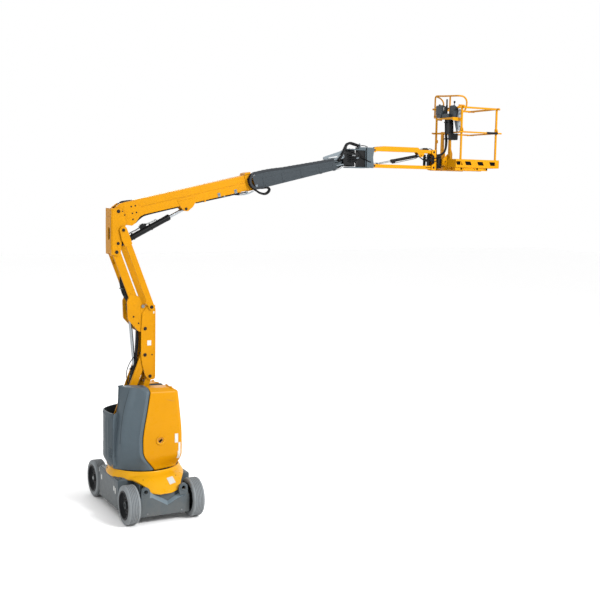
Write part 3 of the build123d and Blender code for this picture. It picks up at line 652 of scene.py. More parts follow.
p = P("steer_beam_frame", "chassis")
p.prism(roundp([(-270, 140), (270, 140), (270, 430), (-270, 430)], 24, 4), "xz", 470, 905, SLATE, 5)
p.prism(roundp([(-350, 150), (350, 150), (350, 405), (-350, 405)], 30, 4), "xz", 905, 930, SLATE, 5)
p.prism(roundp([(-240, 425), (240, 425), (240, 560), (-240, 560)], 12, 3), "xz", 470, 800, SLATE, 5)
for sx in (-1, 1):
    for z in (150, 412):
        pl = roundp([(sx * 250, 730), (sx * 470, 745), (sx * 528, 770), (sx * 528, 835), (sx * 470, 860), (sx * 250, 875)], 14, 3)
        p.prism(pl, "xy", z, z + 28, SLATE, 4)
        p.cyl((sx * KX, WY, z + (28 if z > 300 else 0)), (sx * KX, WY, z + (36 if z > 300 else -8)), 34, SLATE, 32, 3)
        p.hexbolt((sx * KX, WY, z + (36 if z > 300 else -8)), (0, 0, 1 if z > 300 else -1), 12, 5)
    ear = [(sx * 140, 420), (sx * 260, 420)] + [(sx * (200 + 60 * math.cos(math.radians(a))), 500 + 60 * math.sin(math.radians(a))) for a in range(0, 181, 15)]
    if sx < 0:
        ear = ear[::-1]
    p.prism(ear, "xz", 885, 930, SLATE, 4, holes=[arcp((sx * 200, 500), 30, 0, 352.5, 47)])
    p.lathe([(31, 0), (44, 0), (46, 2), (46, 6), (43, 8), (34, 8), (31, 6)], (sx * 200, 929, 500), (0, 1, 0), SLATE, 40)
    p.prism([(760, 430), (885, 430), (885, 530), (800, 500)], "yz", *sorted((sx * 165, sx * 180)), SLATE, 3)
    for z in (190, 360):
        p.hexbolt((sx * 310, 930, z), (0, 1, 0), 10, 6)
# steering cylinder across the beam
p.cyl((-150, 640, 470), (150, 640, 470), 4, BLACK)
p.cyl((-200, 860, 455), (200, 860, 455), 26, BLACK, 32, 3)
for sx in (-1, 1):
    p.cyl((sx * 200, 860, 455), (sx * 222, 860, 455), 31, BLACK, 32, 2)
p.done("steer_beam", slot="slate")


# skirt: raised lip, two soft bulges and the prow
def polar(th):
    """outer radius of the skirt in direction th degrees measured from -Y, by the prow outline"""
    pts = [(-590, -60), (-578, -190), (-525, -313), (-462, -432), (-385, -545), (-338, -625), (-296, -700), (-240, -795), (-218, -845), (-208, -880), (-150, -905), (-60, -935), (30, -950),
           (110, -930), (200, -893), (264, -866), (284, -842), (326, -765), (372, -680), (420, -596), (466, -500), (520, -370), (572, -200), (590, -60)]
    dx, dy = math.sin(math.radians(th)), -math.cos(math.radians(th))
    best = 590.0
    for (ax, ay), (bx, by) in zip(pts[:-1], pts[1:]):
        ex, ey = bx - ax, by - ay
        den = dx * ey - dy * ex
        if abs(den) < 1e-9:
            continue
        t = (ax * ey - ay * ex) / den
        u = (ax * dy - ay * dx) / den
        if t > 0 and -1e-6 <= u <= 1 + 1e-6:
            best = max(best, t)
    return best


def prow_z(x, y):
    """height of the prow's upper surface, for y below about -560"""
    z = interp([(-968, 456), (-930, 466), (-880, 488), (-800, 540), (-700, 600), (-620, 634), (-540, 652)], y)
    if x < 30:
        hw = 30 - interp([(-950, -10), (-905, -150), (-880, -208), (-845, -218), (-795, -240), (-700, -296), (-625, -338), (-545, -385)], y)
    else:
        hw = interp([(-950, 70), (-893, 200), (-866, 264), (-842, 284), (-765, 326), (-680, 372), (-596, 420), (-500, 466)], y) - 30
    f = min(1.2, abs(x - 30) / max(hw, 1))
    return z - lerp(12, 46, sstep((y + 860) / 260)) * f ** 3


ths = sorted({round(v, 2) for v in [-180 + i * 3 for i in range(120)] + [s * a for s in (-1, 1) for a in (0, 1.8, 3.67, 6.75, 9.42, 12.62, 13.3, 14.48, 16.8, 16.95, 18.63, 20, 22.92, 23.08, 26, 28.41, 28.68, 32, 35.24, 37, 39, 41, 42.98, 45, 46.92, 50, 54, 59.2, 65)]})
p = P("skirt_shell", "chassis")
rows = []
FR = [0, 0.08, 0.16, 0.24, 0.32, 0.40, 0.48, 0.56, 0.64, 0.72, 0.80, 0.88, 0.94, 0.98, 1.0]
for th in ths:
    R = polar(th)
    dx, dy = math.sin(math.radians(th)), -math.cos(math.radians(th))
    a = abs((th + 180) % 360 - 180)
    prowness = sstep((46 - a) / 16.0)
    bulge = 10 * math.exp(-((a - 38) / 9.0) ** 2)
    row = [(530, 600), (530, 672)]
    row += [(533, 682), (538, 687), (545, 688), (551, 684), (555, 676)]
    lip = [(r, z) for r, z in row]
    cone = []
    for f in FR:
        rr = lerp(556, R, f)
        # plain skirt section
        zs = 672 - 78 * min(1.0, max(0.0, (rr - 556) / (R - 556))) ** 0.86
        zs += bulge * math.sin(math.pi * min(1, f)) * 1.0
        zp = prow_z(dx * rr, dy * rr)
        if rr < 600:
            zp = lerp(672, zp, sstep((rr - 540) / 60))
        cone.append((rr, lerp(zs, zp, prowness)))
    low = lerp(576, cone[-1][1] - 24, prowness)
    full = lip + cone + [(R - 1, lerp(cone[-1][1], low, 0.35)), (R - 2, lerp(cone[-1][1], low, 0.7)), (R - 4, low)]
    rows.append([(dx * r, dy * r, z) for r, z in full])
rows.append(rows[0])
# painted highlight: the skirt takes the lighter, glossier yellow
p.grid(rows, YEL_LIT)
p.done("turntable_skirt", slot="yellow", sharp=38, solid=7.0, out=(0, 0, 300))
p = P("skirt_fixings", "chassis")
for x, y, z in ((-505, 91, 0), (-239, -655, 0), (292, -640, 0), (-330, -430, 0), (505, -110, 0), (430, 330, 0), (-300, 470, 0), (120, 548, 0)):
    r = math.hypot(x, y)
    if r < 600:
        k = 571 / r
        x, y = x * k, y * k
        n = Vector((x, y, 0)).normalized() * 0.9 + Vector((0, 0, 0.45))
        p.hexbolt((x, y, 641), n, 7, 5, BOLT)
    else:
        p.hexbolt((x, y, prow_z(x, y) - 1), (0, -0.4, 1), 7, 5, BOLT)
# blank label on the right flank of the prow, rivets at its tip
a_, b_ = (110, -770), (205, -800)
lab = []
for i in range(7):
    u = i / 6
    lab.append([(lerp(120, 226, u) + 10 * v, lerp(-700, -668, u) - 118 * v, prow_z(lerp(120, 226, u) + 10 * v, lerp(-700, -668, u) - 118 * v) + 2.2) for v in (0, 0.25, 0.5, 0.75, 1.0)])
p.grid(lab, LABEL)
p.done()

# ================================================================== wheels
for name, sx, sy in (("drive_left", -1, -1), ("drive_right", 1, -1), ("steer_left", -1, 1), ("steer_right", 1, 1)):
    o, ax = (sx * 507, sy * WY, 295), (sx, 0, 0)
    body = "wheel_" + name
    p = P("tread_" + name, body)
    half = [(207, 80), (222, 88), (240, 91), (262, 92.5), (277, 90), (286, 84), (292, 74), (295, 64)]
    prof = [(r, -h) for r, h in half]
    for k in range(-2, 3):
        c = k * 24.0
        prof += [(295, c - 4.6), (289.5, c - 3.0), (289.5, c + 3.0), (295, c + 4.6)]
    prof += [(r, h) for r, h in reversed(half)]
    p.lathe(prof, o, ax, TYRE, 112)
    # painted shade: darker strips laid in the tread grooves
    for k in range(-2, 3):
        c = k * 24.0
        p.lathe([(289.8, c - 3.9), (291.6, c - 3.4), (291.6, c + 3.4), (289.8, c + 3.9)], o, ax, GROOVE_SHADE, 112)
    p.done("tyre_" + name, slot="light_tyre", sharp=24)
    p = P("wheel_rim_" + name, body)
    p.lathe([(206, 93), (216, 94), (220, 91), (220, 87), (205, 82), (204.7, 80), (204.7, -80), (205, -82), (219, -87), (219, -91), (206, -93), (196, -88),
             (190, 26), (180, 33), (120, 30), (64, 26), (64, 40), (120, 43), (172, 47), (184, 58), (190, 70), (196, 90)], o, ax, RIM, 96)
    if sy < 0:
        p.lathe([(0, 20), (66, 20), (66, 52), (62, 60), (50, 62), (48, 66), (40, 68), (0, 68)], o, ax, RIM, 48)
        p.lathe([(40, 66), (47, 66), (49, 69), (46, 72), (41, 72)], o, ax, SLATE, 48)
        p.lathe([(0, 66), (20, 66), (20, 74), (17, 77), (0, 77)], o, ax, RIM, 24)
        nb, rb = 9, 92
    else:
        p.lathe([(32, 20), (62, 20), (62, 60), (56, 68), (34, 70), (32, 66)], o, ax, RIM, 48)
        p.lathe([(0, 40), (31, 40), (31, 72), (27, 79), (18, 82), (0, 83)], o, ax, STEEL, 36)
        nb, rb = 5, 88
    for i in range(nb):
        a = 2 * math.pi * (i + 0.3) / nb
        q = Vector(o) + Vector(ax) * 43 + Vector((0, math.cos(a), math.sin(a))) * rb
        p.hexbolt(q, ax, 9, 9, RIM if sy > 0 else BOLT)
    # stiffening pads on the disc and balance holes near its rim
    for i in range(10):
        a = 2 * math.pi * (i + 0.5) / 10
        q = Vector(o) + Vector(ax) * 47 + Vector((0, math.cos(a), math.sin(a))) * 146
        p.lathe([(0, -3), (15, -3), (15, 1), (13, 3), (9, 3), (8, 0), (0, 0)], q, ax, RIM, 20)
    q = Vector(o) + Vector(ax) * 86 + Vector((0, 0.6, 0.8)) * 201
    p.cyl(q, q + Vector(ax) * 8, 4, STEEL, 12, 1)
    p.done("rim_" + name, slot="black_paint")
for side, sx in (("left", -1), ("right", 1)):
    p = P("kingpin_unit_" + side, "steering_knuckle_" + side)
    x = sx * KX
    p.cyl((x, WY, 180), (x, WY, 410), 29, STEEL, 32, 2)
    p.cyl((x, WY, 186), (x, WY, 404), 42, SLATE, 32, 5)
    p.lathe([(0, 0), (60, 0), (60, 30), (52, 40), (30, 44), (30, 72), (0, 72)], (sx * 487, WY, 295), (sx, 0, 0), SLATE, 40)
    p.prism(roundp([(sx * 470, WY - 30), (sx * 505, WY - 30), (sx * 480, WY - 150), (sx * 425, WY - 165), (sx * 420, WY - 130)][::sx], 12, 3), "xy", 330, 350, SLATE, 3)
    p.cyl((sx * 445, WY - 148, 322), (sx * 445, WY - 148, 362), 13, STEEL, 20, 2)
    p.done("steering_knuckle_" + side, slot="slate")

# ================================================================== turret
p = P("turntable_plate", "turret")
p.lathe([(0, 622), (505, 622), (512, 628), (512, 652), (506, 662), (0, 662)], (0, 0, 0), (0, 0, 1), SLATE_D, 96)
for i in range(16):
    a = 2 * math.pi * (i + 0.5) / 16
    p.hexbolt((380 * math.cos(a), 380 * math.sin(a), 662), (0, 0, 1), 10, 7)
p.box(-120, 120, -150, 150, 660, 700, SLATE_D, 6)
p.lathe([(0, 0), (70, 0), (70, 50), (60, 60), (0, 60)], (0, 0, 700), (0, 0, 1), BLACK, 36)
for k in range(5):
    a = 0.5 + k * 0.35
    p.tube([(40 * math.cos(a), 40 * math.sin(a), 755), (60 * math.cos(a), 60 * math.sin(a), 840), (-90 + 10 * k, -60 + 30 * k, 900), (-150, -60 + 30 * k, 800), (-180, -60 + 30 * k, 664)], 9, RUBBER)
p.done("turntable", slot="slate")

p = P("arm_tower_plates", "turret")
tw = [(-490, 655), (-300, 655), (-330, 980), (-440, 1240), (-562, 1240), (-562, 690), (-490, 690)]
tw = roundp(tw, {2: 60, 3: 30, 4: 40, 5: 20}, 5)
for sy in (-1, 1):
    p.prism(tw, "xz", *sorted((sy * 125, sy * 145)), YEL, 3)
    for q in (PLA, PLT):
        p.lathe([(0, 0), (44, 0), (44, 4), (40, 7), (30, 7), (0, 7)], (q[0], sy * 144, q[1]), (0, sy, 0), YEL, 32)
        p.pin(q, 150, sy, 19, BOLT)
p.box(-430, -310, -127, 127, 660, 722, YEL, 4)
p.box(-556, -544, -127, 127, 700, 1120, YEL, 3)
for sy in (-1, 1):
    p.box(-500, -300, *sorted((sy * 140, sy * 195)), 660, 676, YEL, 3)
    for x in (-480, -400, -330):
        p.hexbolt((x, sy * 172, 676), (0, 0, 1), 9, 7)
p.cyl((PLA[0], -126, PLA[1]), (PLA[0], 126, PLA[1]), 19, STEEL, 24)
p.cyl((PLT[0], -126, PLT[1]), (PLT[0], 126, PLT[1]), 19, STEEL, 24)
p.done("arm_tower", slot="yellow")

SPLIT = [(700, -14), (722, -28), (780, -72), (860, -140), (950, -192), (1050, -204), (1255, -200), (1600, -138), (1950, -78), (2010, -68)]


def xsplit(z):
    return interp(SPLIT, z)


def crv(z, tab):
    return interp(tab, z)


COV = {  # control points of the near cover in plan: z -> (x, |y|), tail end first, seam last
    "T": [(700, (-552, 150)), (800, (-574, 168)), (950, (-574, 186)), (1200, (-572, 190)), (1548, (-566, 198)), (1556, (-500, 204)), (2005, (-462, 204))],
    "A": [(700, (-520, 212)), (950, (-534, 222)), (1200, (-515, 216)), (1560, (-491, 212)), (1640, (-487, 211)), (2005, (-458, 212))],
    "B": [(700, (-452, 290)), (950, (-490, 335)), (1200, (-492, 352)), (1600, (-448, 368)), (2005, (-352, 402))],
    "C": [(700, (-330, 405)), (950, (-385, 440)), (1200, (-396, 458)), (1600, (-340, 461)), (2005, (-250, 462))],
    "D": [(700, (-180, 492)), (780, (-215, 505)), (950, (-296, 518)), (1200, (-304, 526)), (1600, (-240, 526)), (2005, (-175, 516))],
}
CIRC = 600.0


def tail_r(deg):
    """radius of the round tail, a little fuller towards the far corner"""
    return CIRC + 36 * math.exp(-((deg - 152) / 20.0) ** 2)


def cp(key, z):
    t = COV[key]
    return (interp([(k, v[0]) for k, v in t], z), interp([(k, v[1]) for k, v in t], z))


def pod_shape(far):
    if far:
        ztop = lambda x: interp([(-610, 1548), (-300, 1550), (-205, 1556), (-165, 1600), (-95, 1830), (-45, 1884), (60, 1895), (300, 1902), (450, 1895)], x)
    else:
        ztop = lambda x: interp([(-470, 1980), (-355, 1988), (-200, 1978), (-80, 1966), (60, 1962), (440, 1950)], x)
    if far:
        xf = lambda z: interp([(700, 385), (740, 408), (810, 440), (900, 446), (1290, 444), (1600, 424), (1850, 410), (1960, 400)], z)
    else:
        xf = lambda z: interp([(700, 392), (740, 412), (810, 442), (900, 447), (1290, 443), (1600, 414), (1850, 388), (1960, 370)], z)
    yo = lambda z: interp([(700, 520), (760, 540), (900, 552), (1400, 552), (1700, 546), (1900, 538), (2005, 530)], z)
    return ztop, xf, yo


def smooth_line(ctrl, n):
    """Catmull-Rom through plan points"""
    out = []
    k = len(ctrl)
    for i in range(k - 1):
        p0, p1, p2, p3 = ctrl[max(i - 1, 0)], ctrl[i], ctrl[i + 1], ctrl[min(i + 2, k - 1)]
        for j in range(n[i]):
            t = j / n[i]
            out.append(tuple(0.5 * (2 * b + (c - a_) * t + (2 * a_ - 5 * b + 4 * c - d) * t * t + (3 * b - a_ - 3 * c + d) * t ** 3) for a_, b, c, d in zip(p0, p1, p2, p3)))
    return out


def outline(z, far, n_arc=7, n_side=16):
    """plan points of a pod at height z, on the +Y side: list of (x, y), from the inner rear to the inner front"""
    ztop, xf, yo = pod_shape(far)
    xs = xsplit(z)
    w = sstep((z - 700) / 230.0)
    wt = sstep((z - 690) / 130.0)
    if far:
        arc = []
        for a in (160.5, 154, 147, 140, 133, 126, 119):
            r = lerp(566, tail_r(a), wt)
            arc.append((r * math.cos(math.radians(a)), r * math.sin(math.radians(a))))
        ctrl = arc + [(lerp(-150, xs - 70, w), lerp(525, yo(z) + 6, w))]
        n = [4] * (len(ctrl) - 1)
    else:
        ctrl = [cp(k, z) for k in "TABCD"] + [(xs - 62, lerp(514, yo(z) + 7, w))]
        n = [5, 6, 7, 6, 5]
        bx, by = ctrl[2]
        k = 0.10 * sstep((z - 850) / 400)
        ctrl[2] = (bx - 60 * k, by + 60 * k)
    pts = smooth_line(ctrl, n)
    ex, ey = ctrl[-1]
    for d in (62, 50, 38, 30, 22, 14, 8, 3, 0):
        f = max(0.0, 1 - d / 42.0)
        pts.append((xs - d, lerp(ey - 1, ey, d / 62.0) - 24 * f ** 1.25))
    nc = len(pts)
    X1, Y1, rf = xf(z), yo(z), 72.0
    YC = [(-60, 512), (106, 486), (238, 446), (368, 408), (430, 374)]
    yb = lerp(interp(YC, xs + 20), Y1, w)
    for d in (0, 3, 8, 16, 40):
        pts.append((xs + 4 + d, yb - 6 * max(0, 1 - d / 12) ** 2))
    for i in range(1, n_side):
        t = i / n_side
        x = lerp(xs + 44, X1 - rf, t)
        y = Y1 + 2 * math.sin(math.pi * t)
        pts.append((x, lerp(interp(YC, x), y, w)))
    for i in range(n_arc + 1):
        a = math.radians(90 - 90 * i / n_arc)
        k = lerp(0.82, 1.0, w)
        yy = Y1 - rf + rf * math.sin(a)
        pts.append((X1 - rf + rf * math.cos(a), lerp(lerp(interp(YC, X1 - rf), 372, i / n_arc), yy, w)))
    for i in range(1, 9):
        pts.append((X1, lerp(pts[-i][1] if False else lerp(372, Y1 - rf, w), 236, i / 8)))
    return pts, nc


def pod(far, sy):
    ztop, xf, yo = pod_shape(far)
    tag = "right" if sy > 0 else "left"
    ts = [0, 0.012, 0.03, 0.05, 0.08, 0.11, 0.15, 0.19, 0.24, 0.30, 0.37, 0.45, 0.53, 0.61, 0.69, 0.76, 0.83, 0.89, 0.94, 0.975, 1.0]
    top, nc = outline(1880 if far else 1960, far)
    n = len(top)
    full, lids = [], []
    for j in range(n):
        x0 = min(max(top[j][0], -600), 440)
        # height of the shoulder below the lid and how far the bevel runs in
        if j >= nc:
            drop, run = 62.0, 112.0
        elif far:
            drop, run = (12.0, 10.0) if x0 < -200 else (lerp(12, 62, sstep((x0 + 200) / 90)), lerp(10, 100, sstep((x0 + 200) / 90)))
        else:
            f = sstep((x0 + 260) / 150.0)
            drop, run = lerp(12, 60, f), lerp(12, 105, f)
        zt = ztop(x0) - drop
        col = []
        for t in ts:
            z = lerp(692, zt, t)
            x, y = outline(z, far)[0][j]
            col.append((x, y, z))
        full.append(col)
        lids.append((drop, run))
    jl = 0
    if far:
        while full[jl][-1][0] < -205:
            jl += 1
    for j in range(n):
        drop, run = lids[j]
        x, y, z = full[j][-1]
        door = j >= nc
        a = full[max(j - 1, nc if door else 0)][len(ts) - 1]
        b = full[min(j + 1, n - 1 if door else nc - 1)][len(ts) - 1]
        tx, ty = b[0] - a[0], b[1] - a[1]
        L = math.hypot(tx, ty) or 1
        nx, ny = ty / L, -tx / L
        if j in (nc, nc - 1) or (door and x < 300):
            nx, ny = 0, -1
        if j == 0:
            nx, ny = 1, 0
        if j == n - 1:
            nx, ny = -1, 0
        soft = 8.0
        steps = [(0.12, 0.30), (0.22, 0.42), (0.45, 0.62), (0.75, 0.86), (0.9, 0.96), (1.0, 1.0)] if run > 40 else [(0.08, 0.4), (0.25, 0.72), (0.5, 0.92), (0.75, 0.98), (1.0, 1.0), (1.2, 1.0)]
        for fx, fz in steps:
            full[j].append((x + nx * run * fx, y + ny * run * fx, z + drop * fz))
        ex, ey, ez = full[j][-1]
        if far and j < jl:
            # open-topped tail: the rim turns down inside
            for q, dz in ((1.5, -3), (1.8, -12), (1.9, -40), (1.9, -80), (1.9, -160), (1.9, -260), (1.9, -400), (1.9, -560)):
                full[j].append((x + nx * run * q, y + ny * run * q, ez + dz))
            continue
        yin = 236 if door else 208
        if door:
            x0, x1 = xsplit(1950) + 7, xf(1940) - 60
            jj, nn = j - nc, n - nc - 1
        else:
            x0, x1 = (-200 if far else cp("T", 1990)[0] + 14), xsplit(1950)
            jj, nn = j - jl, nc - 1 - jl
        tgx = lerp(x0, x1, jj / nn)
        for q in range(1, 9):
            f = q / 8
            X, Y = lerp(ex, tgx, f), lerp(ey, yin, f)
            full[j].append((X, Y, ztop(min(max(X, -600), 440)) + (ez - ztop(min(max(ex, -600), 440))) * (1 - f)))
    mir = lambda c: [(x, sy * y, z) for x, y, z in c]
    c = P("pod_cover_" + tag, "turret")
    # painted shade: the far cover takes the darker copy of the moulded slate
    c.grid([mir(k) for k in full[:nc]], SLATE_SHADED if far else SLATE_S)
    return c, [mir(k) for k in full[nc:]]


def inner_wall(p, far, sy):
    """the pod's wall towards the folding arms"""
    ztop, xf, yo = pod_shape(far)
    # painted shade: the far pod's inner wall and end plate are drawn in dark slate, the near wall in plain moulded
    # slate
    mat = SLATE_D if far else SLATE_S
    if far:
        pts = [(-540, z) for z in (760, 1000, 1180)] + [(-215, 1190), (-200, 1540)] + [(x, ztop(x) - 8) for x in range(-170, 380, 30)]
    else:
        pts = [(cp("T", z)[0] + 6, z) for z in range(760, 1981, 60)] + [(x, ztop(x) - 8) for x in range(-430, 340, 30)]
    pts += [(xf(z) - 8, z) for z in range(1860, 760, -60)]
    pts = [(-490, 700)] + pts + [(375, 705)]
    p.prism(pts, "xz", *sorted((sy * 209, sy * 226)), mat, 3)
    if far:
        # painted shade: dark slate end plate of the far pod
        p.prism([(212, 760), (545, 760), (548, 1545), (212, 1545)], "yz", -206, -192, SLATE_D, 3)
        # painted shade: a dark sheet stands for the shaded mouth of the service side under the lid
        p.prism(roundp([(-70, 1500), (350, 1500), (380, 1650), (372, 1850), (-40, 1850)], 30, 4), "xz", 200, 212, PAINTED_SHADE, 2)
    return p


for far, sy, tag in ((False, -1, "left"), (True, 1, "right")):
    cov, dg = pod(far, sy)
    cov.done("cover_" + tag, slot="slate", sharp=40, solid=14.0, out=(0, sy * 330, 1200))
    w = P("pod_inner_wall_" + tag, "turret")
    inner_wall(w, far, sy)
    # stiffening ribs and a hand hole frame on the inner wall
    for x in (-320, -120, 90, 280):
        w.prism(roundp([(x, 800), (x + 46, 800), (x + 46, 1500), (x, 1500)], 16, 3), "xz", *sorted((sy * 198, sy * 210)), SLATE_S, 4)
    w.done(slot="slate")
    d = P("pod_door_" + tag, "door_" + tag)
    d.grid(dg, YEL_D)
    d.done("door_" + tag, slot="yellow", sharp=40, solid=14.0, out=(100, sy * 300, 1200))
    k = P("door_latch_" + tag, "door_" + tag)

    def ysurf(x, z, far=far):
        q, nc_ = outline(z, far)
        q = q[nc_:]
        for (xa, ya), (xb, yb) in zip(q[:-1], q[1:]):
            if xa <= x <= xb and xb > xa:
                return lerp(ya, yb, (x - xa) / (xb - xa))
        return q[-1][1]

    y = ysurf(73, 1160)
    # dished latch plate: raised ring and a slot in a cup; the upper arc of the ring, the disc in the cup and the slot
    # are painted shade, the lit lower lip a painted highlight
    k.lathe([(12, 0.5), (26, 1.0), (40, 3.0), (50, 9), (60, 13), (68, 11), (74, 4), (76, -1)], (73, sy * y, 1160), (0, sy, 0), YEL_D, 48)
    k.lathe([(0, 1), (25, 1), (26, 10), (22, 13), (0, 13)], (73, sy * y, 1160), (0, sy, 0), YEL_D, 36)
    k.lathe([(0, 1.4), (46, 2.2), (46, 3.6), (0, 4.0)], (73, sy * y, 1160), (0, sy, 0), YEL_SHADE, 36)
    arc_ = lambda r_, a0, a1, n_, lift: [(73 + r_ * math.cos(math.radians(lerp(a0, a1, i / n_))), sy * (y + lift), 1160 + r_ * math.sin(math.radians(lerp(a0, a1, i / n_)))) for i in range(n_ + 1)]
    k.tube(arc_(54, 195, 360, 16, 8), 8, YEL_LIT, 10, 5)
    k.tube(arc_(58, 20, 185, 16, 7), 6, YEL_SHADE, 10, 5)
    k.slab((73, sy * (y + 12.5), 1160), (0.80, 0, 0.60), (0, sy, 0), (-0.60, 0, 0.80), 56, 6, 32, PAINTED_SHADE, 2)
    # shallow crease high on the panel, drawn as a strip of painted shade
    c0 = []
    for i in range(13):
        t = i / 12
        x, z = lerp(169, 321, t), lerp(1792, 1751, t) - 6 * math.sin(math.pi * t)
        hw = 3.2 * math.sin(math.pi * min(1, t * 1.0)) + 1.2
        yy = ysurf(x, z) + 0.7
        c0.append([(x, sy * yy, z + hw), (x, sy * (yy + 0.1), z), (x, sy * yy, z - hw)])
    k.grid(c0, YEL_SHADE)
    # blank plates on the round front corner
    rects = ((308, 362, 1102, 1243), (367, 403, 962, 1101), (356, 404, 837, 967)) if not far else ((300, 360, 1100, 1220),)
    for xa, xb, za, zb in rects:
        rows = []
        for i in range(9):
            xx = lerp(xa, xb, i / 8)
            rows.append([(xx, sy * (ysurf(xx, lerp(za, zb, v / 4)) + 1.8), lerp(za, zb, v / 4)) for v in range(5)])
        k.grid(rows, LABEL)
    k.done()

# round tail wall between the pods, open at its top
p = P("rear_wall_panel", "turret")
cols = []
for i in range(41):
    th = math.radians(lerp(160.5, 199.5, i / 40))
    yy = 600 * math.sin(th)
    rows_ = []
    for q in range(24):
        z = lerp(706, 1538, q / 23)
        w = sstep((z - 690) / 130.0)
        r = lerp(570, tail_r(math.degrees(th)) + 1, w)
        # two upright ridges and a shallow panel between them
        dg = math.degrees(th)
        rid = 7 * math.exp(-((dg - 176.5) / 1.1) ** 2) + 7 * math.exp(-((dg - 187.0) / 1.1) ** 2)
        rid *= sstep((z - 800) / 60) * sstep((1500 - z) / 60)
        r += rid - 4
        rows_.append((r * math.cos(th), r * math.sin(th), z))
    for dr, dz in ((2, 3), (3, 7), (1, 12), (-4, 15), (-12, 16), (-20, 15), (-25, 10), (-27, 2), (-27, -30), (-27, -90), (-27, -200), (-27, -360), (-27, -560)):
        rr_ = tail_r(math.degrees(th)) - 3 + dr
        rows_.append((rr_ * math.cos(th), rr_ * math.sin(th), 1538 + dz))
    cols.append(rows_)
# painted shade: the tail wall takes the darker copy of the moulded slate
p.grid(cols, SLATE_SHADED)
p.done("rear_wall", slot="slate", sharp=40, solid=8.0, out=(0, 0, 1100))
# fine crease down the near cover, beside its rear corner: a thin dark slate tube painting the shade in the crease
p = P("cover_crease_left", "turret")
p.tube([(cp("B", z)[0] - 6, -abs(cp("B", z)[1]) - 1.0, z) for z in range(1120, 1961, 60)], 4.5, SLATE_D, 8, 3)
p.done(slot="slate")
p = P("rear_mouldings", "turret")
# relief ribs low on the near side of the tail, louvres on the far side
def on_tail(deg, z, lift=0.0):
    r = lerp(566, tail_r(deg), sstep((z - 690) / 130.0)) + lift
    return (r * math.cos(math.radians(deg)), r * math.sin(math.radians(deg)), z)
for k in range(4):
    z = 962 - 34 * k
    p.tube([on_tail(186 + i * 1.6, z - 2.2 * i, -2 + 3 * math.sin(math.pi * i / 8)) for i in range(9 - k)], 5.5, SLATE_S, 8, 3)
p.tube([on_tail(185, 985, 0), on_tail(190, 992, 0), on_tail(196, 975, 0), on_tail(201, 940, -2), on_tail(202.5, 905, -4), on_tail(200, 868, -4), on_tail(192, 858, -2), on_tail(186, 866, -2)], 6.5, SLATE_S, 8, 5)
for k in range(7):
    z = 835 + 30 * k
    p.tube([on_tail(140 + i * 2.0, z, -2 + 4 * math.sin(math.pi * i / 8)) for i in range(9)], 7, SLATE_S, 8, 3)
p.tube([on_tail(a, 1508, 1) for a in range(122, 177, 6)], 6, SLATE_S, 8, 4)
p.done(slot="slate")

p = P("battery_stack", "turret")
for i in range(3):
    for j in range(2):
        x0, z0 = -145 + i * 156, 745 + j * 252
        p.box(x0, x0 + 150, 245, 475, z0, z0 + 215, BLACK, 8)
        p.box(x0 + 4, x0 + 146, 249, 471, z0 + 213, z0 + 236, SLATE_D, 5)
        for yy in (285, 435):
            p.cyl((x0 + 75, yy, z0 + 234), (x0 + 75, yy, z0 + 250), 11, STEEL, 16, 1)
    p.tube([(-145 + i * 156 + 75, 285, 1246), (-145 + i * 156 + 110, 330, 1262), (-145 + i * 156 + 75, 435, 1246)], 6, RUBBER)
p.done("battery_pack")
p = P("hydraulic_tank", "turret")
p.prism(roundp([(-150, 740), (130, 740), (130, 1120), (-150, 1120)], 20, 4), "xz", -478, -245, BLACK, 8)
p.lathe([(0, 0), (38, 0), (42, 4), (42, 22), (34, 30), (0, 30)], (-60, -360, 1118), (0, 0, 1), BLACK, 32)
p.cyl((160, -360, 742), (160, -360, 960), 62, CAST, 36, 6)
p.cyl((160, -360, 955), (160, -360, 1090), 52, SLATE_D, 36, 6)
p.box(220, 318, -440, -280, 745, 980, STEEL, 5)
for k in range(4):
    p.cyl((240 + 18 * k, -420, 975), (240 + 18 * k, -420, 1040), 8, BLACK, 16, 1)
    p.tube([(240 + 18 * k, -420, 1035), (240 + 15 * k, -430, 1100), (150, -420 + 20 * k, 1135), (40, -300, 1150 - 12 * k), (-60, -262, 1100)], 9, RUBBER)
p.done("hydraulic_unit")
p = P("counterweight_pair", "turret")
for sy in (-1, 1):
    p.prism(roundp([(-385, 740), (-202, 740), (-202, 1320), (-240, 1350), (-355, 1350), (-385, 1320)], 14, 3), "xz", *sorted((sy * 240, sy * 325)), CAST, 8)
    p.lathe([(0, 0), (30, 0), (30, 6), (16, 8), (0, 8)], (-295, sy * 285, 1348), (0, 0, 1), STEEL, 24)
p.done("counterweight", slot="cast")
# ================================================================== riser: folding arms, ties and knuckles
def along(p, ang, pts):
    c, s = math.cos(ang), math.sin(ang)
    return [(p[0] + u * c - v * s, p[1] + u * s + v * c) for u, v in pts]


ANG_L = math.atan2(PB2[1] - PLA[1], PB2[0] - PLA[0])
ANG_U = math.atan2(PUA[1] - PB1[1], PUA[0] - PB1[0])


def boss(p, q, y, sy, r, mat=None, h=5):
    p.lathe([(0, 0), (r, 0), (r, h - 1.5), (r - 2, h), (r - 9, h), (r - 10, h - 1.5), (0, h - 1.5)], (q[0], sy * y, q[1]), (0, sy, 0), mat or YEL, 36)


def weld(p, pts, y, mat=None):
    """a weld bead: a thin rippled run"""
    mat = mat or YEL
    out = []
    for a, b in zip(pts[:-1], pts[1:]):
        n = max(2, int(math.dist(a, b) / 14))
        out += [(lerp(a[0], b[0], i / n), y, lerp(a[1], b[1], i / n)) for i in range(n)]
    out.append((pts[-1][0], y, pts[-1][1]))
    p.tube(out, 3.4, mat, 6, 1)


